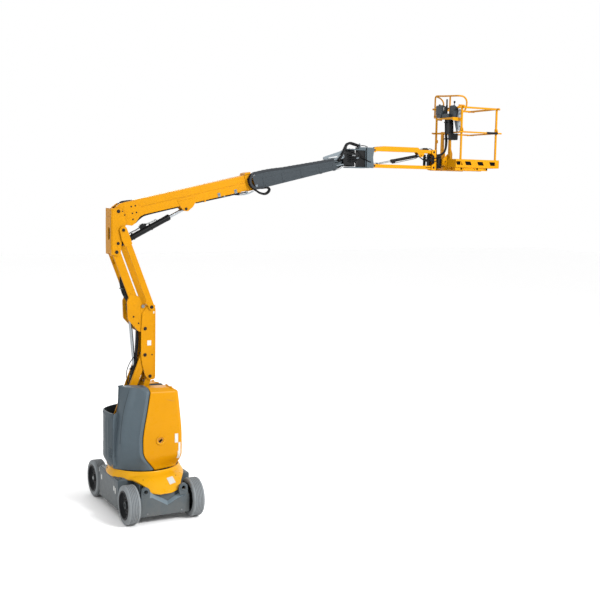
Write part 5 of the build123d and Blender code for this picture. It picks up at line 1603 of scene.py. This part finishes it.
p = P("swivel_bracket", "jib_bracket")
cb = [(3938, 5408), (4096, 5406), (4104, 5470), (4092, 5530), (4086, 5590), (4092, 5640), (4104, 5700), (4100, 5755), (3938, 5755)]
cb = roundp(cb, {0: 4, 1: 14, 2: 20, 3: 40, 4: 60, 5: 40, 6: 20, 7: 14, 8: 6}, 5)
for s in (-1, 1):
    p.prism(cb, "xz", *sorted((s * 57, s * 70)), SLATE, 3)
    for q in (JIB_UL, JIB_LL):
        p.prism(roundp([(4080, q[1] - 22), (4150, q[1] - 22), (4150, q[1] + 22), (4080, q[1] + 22)], 20, 4), "xz", *sorted((s * 51, s * 56)), YEL, 1.5)
        p.pin(q, 57, s, 10)
    p.hexbolt((3985, s * 70, 5580), (0, s, 0), 8, 5, SLATE)
p.box(3933, 3962, -70, 70, 5404, 5757, SLATE, 3)
p.prism(roundp([(3800, 5420), (3934, 5420), (3934, 5698), (3800, 5698)], 12, 3), "xz", -52, 52, BLACK, 3)
pl = roundp([(3560, -40), (3590, -95), (3650, -112), (3720, -104), (3800, -74), (3940, -70), (3940, 70), (3800, 74), (3720, 104), (3650, 112), (3590, 95), (3560, 40)], 30, 5)
p.prism(pl, "xy", 5700, 5718, SLATE, 3)
p.prism(roundp([(3800, -64), (3940, -70), (3940, 70), (3800, 64)], 8, 2), "xy", 5718, 5755, SLATE, 4)
p.prism(pl, "xy", 5400, 5418, SLATE, 3)
p.prism(roundp([(3780, 5418), (3940, 5418), (3940, 5500)], 10, 2), "xz", -8, 8, SLATE, 2)
p.prism(roundp([(3820, 5700), (3940, 5700), (3940, 5620)], 10, 2), "xz", -8, 8, SLATE, 2)
for a in range(6):
    an = math.radians(60 * a)
    p.hexbolt((3650 + 62 * math.cos(an), 62 * math.sin(an), 5718), (0, 0, 1), 9, 7)
p.ycyl(JIB_UL, 17, -58, 58, STEEL)
for s in (-1, 1):
    p.ycyl(JIB_LL, 17, *sorted((s * 36, s * 58)), STEEL)
# grey fitting that takes the big hose, and a thin pipe
p.lathe([(0, 0), (20, 0), (20, 34), (16, 40), (16, 62), (0, 62)], (3800, -52, 5752), (0.35, 0, 0.94), GALV, 24)
p.tube([(3800, -40, 5752), (3850, -44, 5778), (3920, -40, 5780), (3990, -30, 5764)], 7, RUBBER, 10)
for s in (-1, 1):
    p.tube([(3760, s * 50, 5700), (3790, s * 84, 5660), (3850, s * 92, 5600), (3915, s * 84, 5560), (3985, s * 76, 5520), (4040, s * 74, 5508)], 9, RUBBER, 10)
p.done("jib_bracket", slot="slate")

# guide bracket and big hose at the end of the inner boom
p = P("tip_guide_bracket", "inner_boom")
gb = roundp([(3068, 5562), (3078, 5524), (3120, 5506), (3330, 5500), (3470, 5560), (3480, 5585), (3446, 5682), (3400, 5670)], {0: 14, 1: 14, 2: 20, 3: 30, 4: 12, 5: 12, 6: 16, 7: 30}, 4)
sl1 = roundp([(3170, 5536), (3350, 5560), (3350, 5588), (3170, 5558)], 9, 4)
sl2 = roundp([(3392, 5596), (3432, 5620), (3424, 5640), (3384, 5616)], 8, 4)
p.prism(gb, "xz", -128, -121, GALV, 1.5, holes=[sl1, sl2])
p.prism([(3068, 5521), (3330, 5496), (3330, 5502), (3068, 5529)], "xz", -160, -122, GALV, 1.2)
p.tube([(3060, -140, 5534), (3200, -142, 5548), (3330, -144, 5562), (3372, -143, 5588), (3400, -142, 5610)], 6, GALV, 10)
for q in ((3124, 5516), (3300, 5514), (3462, 5580)):
    p.hexbolt((q[0], -128, q[1]), (0, -1, 0), 7, 4, BOLT)
p.prism(roundp([(3338, 5418), (3440, 5440), (3561, 5456), (3561, 5470), (3440, 5456), (3338, 5432)], 4, 2), "xz", -110, -78, GALV, 1.2)
p.done(slot="slate")
p = P("tip_big_hose", "boom_tip")
for k, (y, r) in enumerate(((-146, 21), (-112, 18))):
    p.tube([(3352 + 8 * k, y - 12, 5516), (3392, y - 10, 5566 + 6 * k), (3436, y - 6, 5640), (3480 + 6 * k, y, 5730), (3530, 0.9 * y, 5790), (3600, 0.75 * y, 5812 - 6 * k), (3690, 0.6 * y, 5800 - 10 * k), (3806, 0.45 * y, 5772 - 8 * k)], r, RUBBER, 14)
p.lathe([(0, -16), (24, -16), (26, -12), (26, 12), (24, 16), (0, 16)], (3484, -146, 5734), (0.6, 0.08, 0.8), BLACK, 24)
p.slab((3800, -62, 5758), (1, 0, 0), (0, 1, 0), (0, 0, 1), 46, 40, 22, SLATE, 4)
p.done(slot="black_paint")
p = P("tip_feed_hoses", "inner_boom")
for k, y in enumerate((-120, -104)):
    p.tube([b3(3770, 10 + 6 * k, y - 8), b3(3850, 20, y), b3(3900, 10 + 8 * k, y), b3(3930, -6, y + 6), b3(3960, -14, y + 8)], 13, RUBBER, 12)
p.tube([b3(3790, -100, -120), b3(3870, -112, -110), b3(3950, -100, -96), b3(4010, -70, -80)], 9, RUBBER, 12)
p.tube([b3(3790, -116, -100), b3(3880, -134, -92), b3(3960, -128, -84), b3(4030, -96, -74)], 6, STEEL, 10)
p.done(slot="black_paint")

# ================================================================== jib
p = P("jib_top_beam", "jib_upper_arm")
ju = [(4100, 5690), (4140, 5676), (4172, 5700), (5010, 5702), (5062, 5622), (5120, 5622), (5170, 5700), (5340, 5690), (5372, 5700), (5384, 5718), (5368, 5742), (5330, 5752), (5066, 5752), (5024, 5788), (4300, 5788), (4222, 5762), (4120, 5756), (4092, 5730)]
ju = roundp(ju, {0: 10, 1: 16, 2: 4, 3: 6, 4: 18, 5: 18, 6: 6, 7: 8, 8: 10, 9: 10, 10: 10, 11: 6, 12: 8, 13: 8, 14: 10, 15: 8, 16: 14, 17: 16}, 4)
for s in (-1, 1):
    p.prism(ju, "xz", *sorted((s * 36, s * 50)), YEL, 2.5)
    boss(p, JIB_UL, 49.5, s, 30, YEL, 3)
    boss(p, JIB_UR, 49.5, s, 28, YEL, 3)
    boss(p, JIB_FOOT, 49.5, s, 24, YEL, 4)
    p.hexbolt((JIB_FOOT[0], s * 53, JIB_FOOT[1]), (0, s, 0), 9, 5)
p.prism([(4176, 5704), (5172, 5704), (5172, 5748), (5066, 5750), (5022, 5786), (4302, 5786), (4224, 5760), (4176, 5757)], "xz", -38, 38, YEL, 2)
p.ycyl(JIB_UL, 36, -37, 37, YEL)
p.ycyl(JIB_UR, 32, -37, 37, YEL)
p.ycyl(JIB_FOOT, 15, -38, 38, STEEL)
# painted shade: a dark sheet, with its rim, stands for the opening near the inner end; then the fitting near the outer
# end
p.slab((4180, -10, 5768), (1, 0, 0.16), (0, 1, 0), (-0.16, 0, 1), 96, 62, 9, PAINTED_SHADE, 2)
p.slab((4180, -44, 5766), (1, 0, 0.16), (0, 1, 0), (-0.16, 0, 1), 110, 8, 14, YEL, 2)
p.box(5060, 5128, -32, 26, 5751, 5769, GALV, 3)
p.box(5120, 5262, -30, 20, 5752, 5776, BLACK, 5)
p.cyl((5150, -8, 5774), (5246, -8, 5778), 12, BLACK, 20)
p.tube([(5256, -8, 5770), (5300, -14, 5776), (5330, -30, 5764), (5352, -46, 5742)], 7, RUBBER, 10)
for x in (4420, 4700, 4940):
    p.hexbolt((x, -50, 5745), (0, -1, 0), 5, 3, YEL)
for s in (-1, 1):
    weld(p, [(5030, 5706), (5150, 5706)], s * 51)
p.done("jib_upper_arm", slot="yellow")

p = P("jib_low_bars", "jib_lower_arm")
for s in (-1, 1):
    p.link(JIB_LL, JIB_LR, 60, *sorted((s * 36, s * 50)), YEL, bevel=3)
    for q in (JIB_LL, JIB_LR):
        boss(p, q, 49.5, s, 26, YEL, 3)
        p.hexbolt((q[0], s * 52, q[1]), (0, s, 0), 9, 5)
p.prism(roundp([(5180, -50), (5310, -50), (5310, 50), (5180, 50)], 10, 3), "xy", 5438, 5452, YEL, 2)
# narrow top flange of each bar
for s in (-1, 1):
    p.prism([(4150, 5470), (5320, 5470), (5320, 5477), (4150, 5477)], "xz", *sorted((s * 30, s * 51)), YEL, 2)
p.done("jib_lower_arm", slot="yellow")

p = P("head_bracket", "jib_head")
for s in (-1, 1):
    hb = roundp([(5300, 5412), (5344, 5400), (5412, 5400), (5412, 5760), (5330, 5760), (5300, 5740), (5306, 5690), (5360, 5650), (5366, 5520), (5310, 5490)], {0: 16, 1: 6, 2: 3, 3: 3, 4: 12, 5: 16, 6: 14, 7: 16, 8: 20, 9: 14}, 4)
    p.prism(hb, "xz", *sorted((s * 55, s * 70)), YEL, 2.5)
    for q in (JIB_UR, JIB_LR):
        p.pin(q, 70, s, 13)
    # black uprights that carry the hoses and a crossbar between them
    p.prism(roundp([(5206, 5478), (5262, 5478), (5262, 5676), (5206, 5676)], 8, 3), "xz", *sorted((s * 52, s * 60)), BLACK, 2)
    p.prism(roundp([(5318, 5478), (5366, 5478), (5366, 5676), (5318, 5676)], 8, 3), "xz", *sorted((s * 52, s * 58)), BLACK, 2)
    p.prism(roundp([(5206, 5556), (5400, 5556), (5400, 5600), (5206, 5600)], 6, 3), "xz", *sorted((s * 51, s * 59)), BLACK, 2)
p.box(5394, 5412, -70, 70, 5400, 5760, YEL, 3)
for q in (JIB_UR, JIB_LR):
    p.ycyl(q, 17, -56, 56, STEEL)
for z0, z1 in ((5440, 5474), (5626, 5656)):
    p.prism(roundp([(5404, -50), (5500, -56), (5540, -36), (5548, 0), (5540, 36), (5500, 56), (5404, 50)], 20, 4), "xy", z0, z1, BLACK, 4)
p.lathe([(0, 5462), (44, 5462), (48, 5468), (48, 5500), (44, 5504), (44, 5596), (48, 5600), (48, 5632), (44, 5638), (0, 5638)], (ROTX, 0, 0), (0, 0, 1), BLACK, 40)
p.hexbolt((ROTX, 0, 5656), (0, 0, 1), 16, 8)
p.hexbolt((ROTX, 0, 5440), (0, 0, -1), 16, 8)
p.box(5410, 5450, -40, 40, 5510, 5590, BLACK, 5)
for s in (-1, 1):
    p.tube([(5236, s * 66, 5640), (5262, s * 78, 5580), (5320, s * 82, 5548), (5390, s * 80, 5562), (5440, s * 70, 5590)], 7, RUBBER, 10)
    p.tube([(5250, s * 68, 5660), (5290, s * 80, 5620), (5360, s * 84, 5612), (5430, s * 76, 5620), (5470, s * 66, 5640)], 8, RUBBER, 10)
p.done("jib_head", slot="black_paint")

p = P("jib_hoses", "jib_upper_arm")
for k, y in enumerate((-58, -66)):
    p.tube([(5010, y, 5650), (5050, y - 4, 5622 - 6 * k), (5110, y - 6, 5592 - 12 * k), (5180, y - 6, 5574 - 14 * k), (5240, y - 4, 5588 - 8 * k), (5262, y - 2, 5610)], 7, RUBBER, 12)
p.slab((5016, -60, 5652), (0.8, 0, -0.6), (0, 1, 0), (0.6, 0, 0.8), 26, 30, 18, GALV, 3)
p.done(slot="black_paint")

# ================================================================== basket
FX0, FX1, FY0, FY1, FZ = 5580, 6540, -400, 400, 5460
p = P("basket_support_frame", "basket")
p.lathe([(51, 5482), (60, 5480), (66, 5486), (66, 5500), (62, 5504), (62, 5596), (66, 5600), (66, 5614), (60, 5620), (51, 5618)], (ROTX, 0, 0), (0, 0, 1), BLACK, 44)
p.prism(roundp([(5540, 5500), (5650, 5470), (5650, 5640), (5540, 5600)], 8, 3), "xz", -60, 60, YEL, 4)
for s in (-1, 1):
    # gusset cheeks, flared feet and the uprights
    p.prism(roundp([(5548, 5512), (5650, 5424), (5650, 5700), (5548, 5604)], {0: 20, 1: 6, 2: 6, 3: 20}, 4), "xz", *sorted((s * 62, s * 74)), YEL, 2.5)
    up = roundp([(5638, 5418), (5720, 5418), (5720, 5700), (5690, 5780), (5680, 6092), (5640, 6092)], {0: 4, 1: 8, 2: 30, 3: 60, 4: 6, 5: 6}, 5)
    p.prism(up, "xz", *sorted((s * 104, s * 112)), YEL, 2.5)
    p.prism(roundp([(min(s * 84, s * 152), 5418), (max(s * 84, s * 152), 5418), (max(s * 84, s * 146), 6092), (min(s * 84, s * 146), 6092)], 5, 2), "yz", 5638, 5648, YEL, 2)
    for z in (5480, 5560, 5640):
        p.hexbolt((5638, s * 122, z), (-1, 0, 0), 8, 5)
    p.hexbolt((5600, s * 74, 5560), (0, s, 0), 10, 6)
p.box(5640, 5672, -138, 138, 6052, 6088, YEL, 4)
p.prism(roundp([(-140, 5420), (140, 5420), (140, 5622), (-140, 5622)], 8, 2), "yz", 5644, 5656, YEL, 2)
p.box(5656, 5676, -138, 138, 5424, 5470, YEL, 3)
p.done("basket_support", slot="yellow")

p = P("basket_floor_tray", "basket")
p.box(FX0 + 2, FX1 - 2, FY0 + 2, FY1 - 2, FZ, FZ + 14, YEL, 2)


def kick(axis, lo, hi, at, out, slots=()):
    """toe board with parallelogram openings, its top hem turned in"""
    pl = roundp([(lo, FZ - 4), (hi, FZ - 4), (hi, FZ + 142), (lo, FZ + 142)], 6, 2)
    holes = []
    for c in slots:
        holes.append(roundp([(c - 50, FZ + 40), (c + 74, FZ + 40), (c + 44, FZ + 104), (c - 80, FZ + 104)], 6, 3))
    a, b = sorted((at, at + out * 6))
    p.prism(pl, "xz" if axis == "x" else "yz", a, b, YEL, 1.5, holes=holes)
    if axis == "x":
        p.prism([(lo + 4, FZ + 136), (hi - 4, FZ + 136), (hi - 4, FZ + 143), (lo + 4, FZ + 143)], "xz", *sorted((at, at - out * 18)), YEL, 2)
    else:
        p.prism([(lo + 4, FZ + 136), (hi - 4, FZ + 136), (hi - 4, FZ + 143), (lo + 4, FZ + 143)], "yz", *sorted((at, at - out * 18)), YEL, 2)


kick("x", FX0, FX1, FY0 + 6, -1, (5664, 5860, 6130, 6400))
kick("x", FX0, FX1, FY1 - 6, 1, (5720, 5930, 6160, 6400))
kick("y", FY0, FY1, FX1 - 6, 1, (-200, 0, 200))
for y0, y1 in ((-400, -150), (150, 400)):
    kick("y", y0, y1, FX0 + 6, -1, ())
# painted shade: dark sheets behind the toe-board openings
p.box(FX0 + 40, FX1 - 40, FY0 + 8, FY0 + 11, FZ + 24, FZ + 118, PAINTED_SHADE, 1)
p.box(FX0 + 40, FX1 - 40, FY1 - 11, FY1 - 8, FZ + 24, FZ + 118, PAINTED_SHADE, 1)
p.box(FX1 - 11, FX1 - 8, FY0 + 40, FY1 - 40, FZ + 24, FZ + 118, PAINTED_SHADE, 1)
# anti-slip deck pattern and the frame below
for i in range(9):
    x = 5740 + i * 88
    for j in range(8):
        y = -330 + j * 94
        d = 1 if (i + j) % 2 else -1
        p.slab((x, y, FZ + 14.5), (0.8, 0.6 * d, 0), (-0.6 * d, 0.8, 0), (0, 0, 1), 52, 10, 3, YEL, 1)
for y0, y1 in ((-380, -330), (-30, 30), (330, 380)):
    p.box(5590, 6440 if abs(y0) < 100 else 6300, y0, y1, 5404, 5461, YEL, 4)
for x0, x1 in ((5700, 5745), (6050, 6090), (6255, 6300)):
    p.box(x0, x1, -380, 380, 5412, 5460, YEL, 4)
for x in (5760, 6010, 6230):
    p.hexbolt((x, -380, 5432), (0, -1, 0), 8, 5, BOLT)
p.done("basket_floor", slot="yellow")

p = P("basket_guard_rails", "basket")
RT, RM = 6505, 6075
for x, y in ((5702, -376), (5702, 376), (6465, -376)):
    p.rail([(x, y, FZ + 14), (x, y, RT)], 20, YEL, 10)
    p.prism(roundp([(x - 34, y - 26), (x + 34, y - 26), (x + 34, y + 26), (x - 34, y + 26)], 8, 3), "xy", FZ + 14, FZ + 22, YEL, 2)
    for dx in (-26, 26):
        p.hexbolt((x + dx, y, FZ + 22), (0, 0, 1), 6, 4)
    p.lathe([(17, 0), (21, 2), (21, 30), (17, 34)], (x, y, RM - 20), (0, 0, 1), YEL, 20, closed=True)
# top rail: a round-cornered loop broken at the console, mid rails on three sides
p.rail([(5612, -376, RT), (6530, -376, RT), (6530, -376, RT)][:2], 17, YEL)
p.rail([(5612, 376, RT), (6540, 376, RT)], 17, YEL)
p.rail([(6465, -440, RT), (6465, 440, RT)], 17, YEL)
p.rail([(5702, -440, RT), (5702, 440, RT)], 17, YEL)
for c in ((5612, -376), (6530, -376), (5612, 376), (6540, 376)):
    p.lathe([(0, -4), (14, -4), (17.5, 0), (17.5, 10), (0, 10)], (c[0], c[1], RT), (1 if c[0] < 6000 else -1, 0, 0), YEL, 20)
for c in ((6465, -440), (6465, 440), (5702, -440), (5702, 440)):
    p.lathe([(0, -4), (14, -4), (17.5, 0), (17.5, 10), (0, 10)], (c[0], c[1], RT), (0, 1 if c[1] < 0 else -1, 0), YEL, 20)
p.rail([(5612, 376, RM), (6540, 376, RM)], 14, YEL)
p.rail([(5702, -386, RM), (5702, 460, RM)], 14, YEL)
p.rail([(6465, -386, RM), (6465, 460, RM)], 14, YEL)
for c, d in (((5612, 376), (1, 0, 0)), ((6540, 376), (-1, 0, 0)), ((5702, 460), (0, -1, 0)), ((6465, 460), (0, -1, 0))):
    p.lathe([(0, -4), (12, -4), (14.5, 0), (14.5, 10), (0, 10)], (c[0], c[1], RM), d, YEL, 20)
# harness anchor plates on the far posts
for x in (5702,):
    p.prism(roundp([(x - 30, 5900), (x + 30, 5900), (x + 30, 5960), (x - 30, 5960)], 12, 4), "xz", 356, 362, YEL, 1.5, holes=[arcp((x, 5930), 13, 0, 345, 15)])
p.done("basket_rails", slot="yellow", sharp=45)

p = P("sliding_entry_bar", "entry_bar")
p.rail([(5622, -424, RM), (6545, -424, RM)], 14, YEL)
for c, d in ((5622, 1), (6545, -1)):
    p.lathe([(0, -4), (12, -4), (14.5, 0), (14.5, 10), (0, 10)], (c, -424, RM), (d, 0, 0), YEL, 20)
for x in (5702, 6465):
    p.lathe([(20, 0), (28, 2), (28, 54), (20, 56)], (x, -376, RM + 23), (0, 0, 1), YEL, 28, closed=True)
    p.prism(roundp([(-432, RM - 4), (-400, RM - 4), (-396, RM + 60), (-418, RM + 60)], 6, 3), "yz", x - 8, x + 8, YEL, 2)
# black grip sleeve near the outer end
p.lathe([(14, 0), (19, 2), (20, 8), (20, 30), (18.6, 34), (20, 38), (20, 90), (18.6, 94), (20, 98), (20, 172), (18.6, 176), (20, 180), (20, 236), (19, 242), (14, 244)], (6216, -424, RM), (1, 0, 0), BLACK, 24, closed=True)
p.done("entry_bar", slot="yellow", sharp=45)

p = P("console_housings", "basket")
# two dark boxes with sloping tops on a yellow tray
def onode(x0, x1, y0, y1, z0, z1, slope):
    pts = roundp([(x0, z0), (x1, z0), (x1, z1 - slope), (x0 + 14, z1), (x0, z1 - 10)], 10, 3)
    p.prism(pts, "xz", y0, y1, SLATE_D, 6)
onode(5548, 5668, 30, 190, 6392, 6558, 24)
onode(5612, 5716, -250, -128, 6330, 6542, 40)
p.prism(roundp([(5560, 6330), (5640, 6330), (5640, 6400), (5560, 6400)], 8, 2), "xz", -140, 34, SLATE_D, 4)
p.prism(roundp([(5552, 6340), (5660, 6340), (5664, 6394), (5552, 6394)], 4, 2), "xz", 40, 180, SLATE_D, 3)
# controls: post, joystick, switches, stop button
p.lathe([(0, 0), (13, 0), (14, 4), (14, 100), (12, 112), (7, 118), (0, 118)], (5600, -62, 6540), (0, 0, 1), BLACK, 24)
p.lathe([(0, 0), (17, 0), (17, 160), (0, 160)], (5600, -62, 6395), (0, 0, 1), BLACK, 24)
p.lathe([(0, 0), (26, 0), (24, 8), (16, 20), (7, 26), (6, 52), (16, 60), (17, 84), (12, 94), (0, 96)], (5662, -196, 6526), (0.05, 0, 1), BLACK, 24)
p.lathe([(0, 0), (15, 0), (15, 8), (19, 12), (19, 22), (14, 26), (0, 26)], (5596, 150, 6552), (0, 0, 1), BLACK, 24)
for k in range(4):
    p.lathe([(0, 0), (8, 0), (8, 5), (3, 6), (3, 18), (0, 19)], (5636, -232 + 30 * k, 6534), (0.1, 0, 1), STEEL, 14)
for k in range(3):
    p.lathe([(0, 0), (10, 0), (10, 7), (0, 8)], (5600, 54 + 36 * k, 6552), (0, 0, 1), BLACK, 14)
p.prism(roundp([(5590, 6462), (5612, 6462), (5612, 6524), (5590, 6524)], 3, 2), "xz", 28.4, 30.4, LABEL, 0.4)
p.slab((5647, 200, 6400), (1, 0, 0), (0, 1, 0), (0, 0, 1), 4, 120, 40, LABEL, 1) if False else None
p.lathe([(0, 0), (12, 0), (12, 6), (0, 7)], (5672, -250, 6470), (0, -1, 0), BLACK, 20)
p.done("control_console", slot="black_plastic")

p = P("console_tray_and_panels", "basket")
tray = roundp([(5560, -300), (5730, -300), (5742, 60), (5700, 210), (5560, 210)], 20, 4)
p.prism(tray, "xy", 6318, 6328, YEL, 2)
p.prism([(-300, 6290), (210, 6304), (210, 6330), (-300, 6330)], "yz", 5556, 5564, YEL, 2)
p.prism([(5560, 6276), (5742, 6262), (5742, 6330), (5560, 6330)], "xz", -304, -296, YEL, 2)
p.prism([(5560, 6300), (5700, 6294), (5700, 6330), (5560, 6330)], "xz", 206, 214, YEL, 2)
# pale triangular side panel hanging from the top rail
tri = roundp([(5716, 6480), (5790, 6470), (5786, 6080), (5716, 6110), (5680, 6300)], {0: 10, 1: 8, 2: 20, 3: 16, 4: 20}, 4)
p.prism(roundp([(-120, 6488), (-232, 6470), (-262, 6260), (-236, 6060), (-214, 6052), (-128, 6300)], {0: 14, 1: 20, 2: 30, 3: 14, 4: 14, 5: 20}, 4), "yz", 5716, 5722, PALE, 1.5)
p.prism(tri, "xz", -262, -256, PALE, 1.5)
p.lathe([(0, 0), (9, 0), (9, 4), (0, 5)], (5740, -262, 6180), (0, -1, 0), BLACK, 16)
# document box
p.prism(roundp([(5612, 5940), (5762, 5940), (5766, 6046), (5604, 6046)], 18, 4), "xz", -196, -112, BLACK, 6)
p.prism(roundp([(5604, 6046), (5700, 6046), (5690, 6300), (5600, 6300)], 10, 3), "xz", -150, -60, BLACK, 4)
p.prism(roundp([(5600, 6040), (5770, 6040), (5770, 6054), (5600, 6054)], 5, 3), "xz", -202, -106, BLACK, 3)
p.done(slot="black_plastic")

p = P("basket_hose_column", "basket")
for k, (y, r, dx) in enumerate(((-34, 15, 0), (-56, 14, 12))):
    p.tube([(5600 + dx, y, 6330), (5604 + dx, y, 6200), (5612 + dx * 0.6, y - 2, 6030), (5622 + dx * 0.5, y, 5900), (5616, y * 0.9, 5790), (5590 - 5 * k, y * 0.8, 5726 - 6 * k), (5536, y * 0.6, 5688 - 8 * k), (5470, y * 0.4, 5672 - 6 * k), (5420, y * 0.35, 5668 - 6 * k)], r, RUBBER, 12)
for z in (6240, 5950):
    p.box(5582, 5644, -76, -12, z, z + 24, BLACK, 6)
p.done(slot="black_paint")

p = P("guard_hoops", "basket")
HX, HZ = 5625, 6690
# tall hoop over the console, one leg behind the near post, its bow coming forward to the top rail
p.rail([(5625, 330, 6340), (5625, 330, HZ + 50), (5628, 60, HZ + 30), (5640, -340, HZ + 10), (5735, -374, HZ + 4), (5806, -372, HZ - 70), (5812, -350, 6520), (5790, -331, 6440), (5716, -331, 6412)], 15, YEL, 60)
p.rail([(5630, -112, HZ + 20), (5630, -112, 6334)], 15, YEL, 10)
p.rail([(5625, 310, HZ + 40), (5640, 180, HZ - 4), (5650, 105, HZ - 80), (5650, 105, 6520)], 13, YEL, 60)
p.rail([(5625, 330, 6537), (5690, 350, 6537), (5704, 366, 6508)], 13, YEL, 20)
p.rail([(5640, -362, 6537), (5750, -368, 6537), (5762, -372, 6512)], 13, YEL, 10)
for q in ((5625, 330, 6360),):
    p.lathe([(14, 0), (19, 2), (19, 24), (14, 26)], q, (0, 0, 1), YEL, 20, closed=True)
p.done("guard_hoop", slot="hoop", sharp=45)
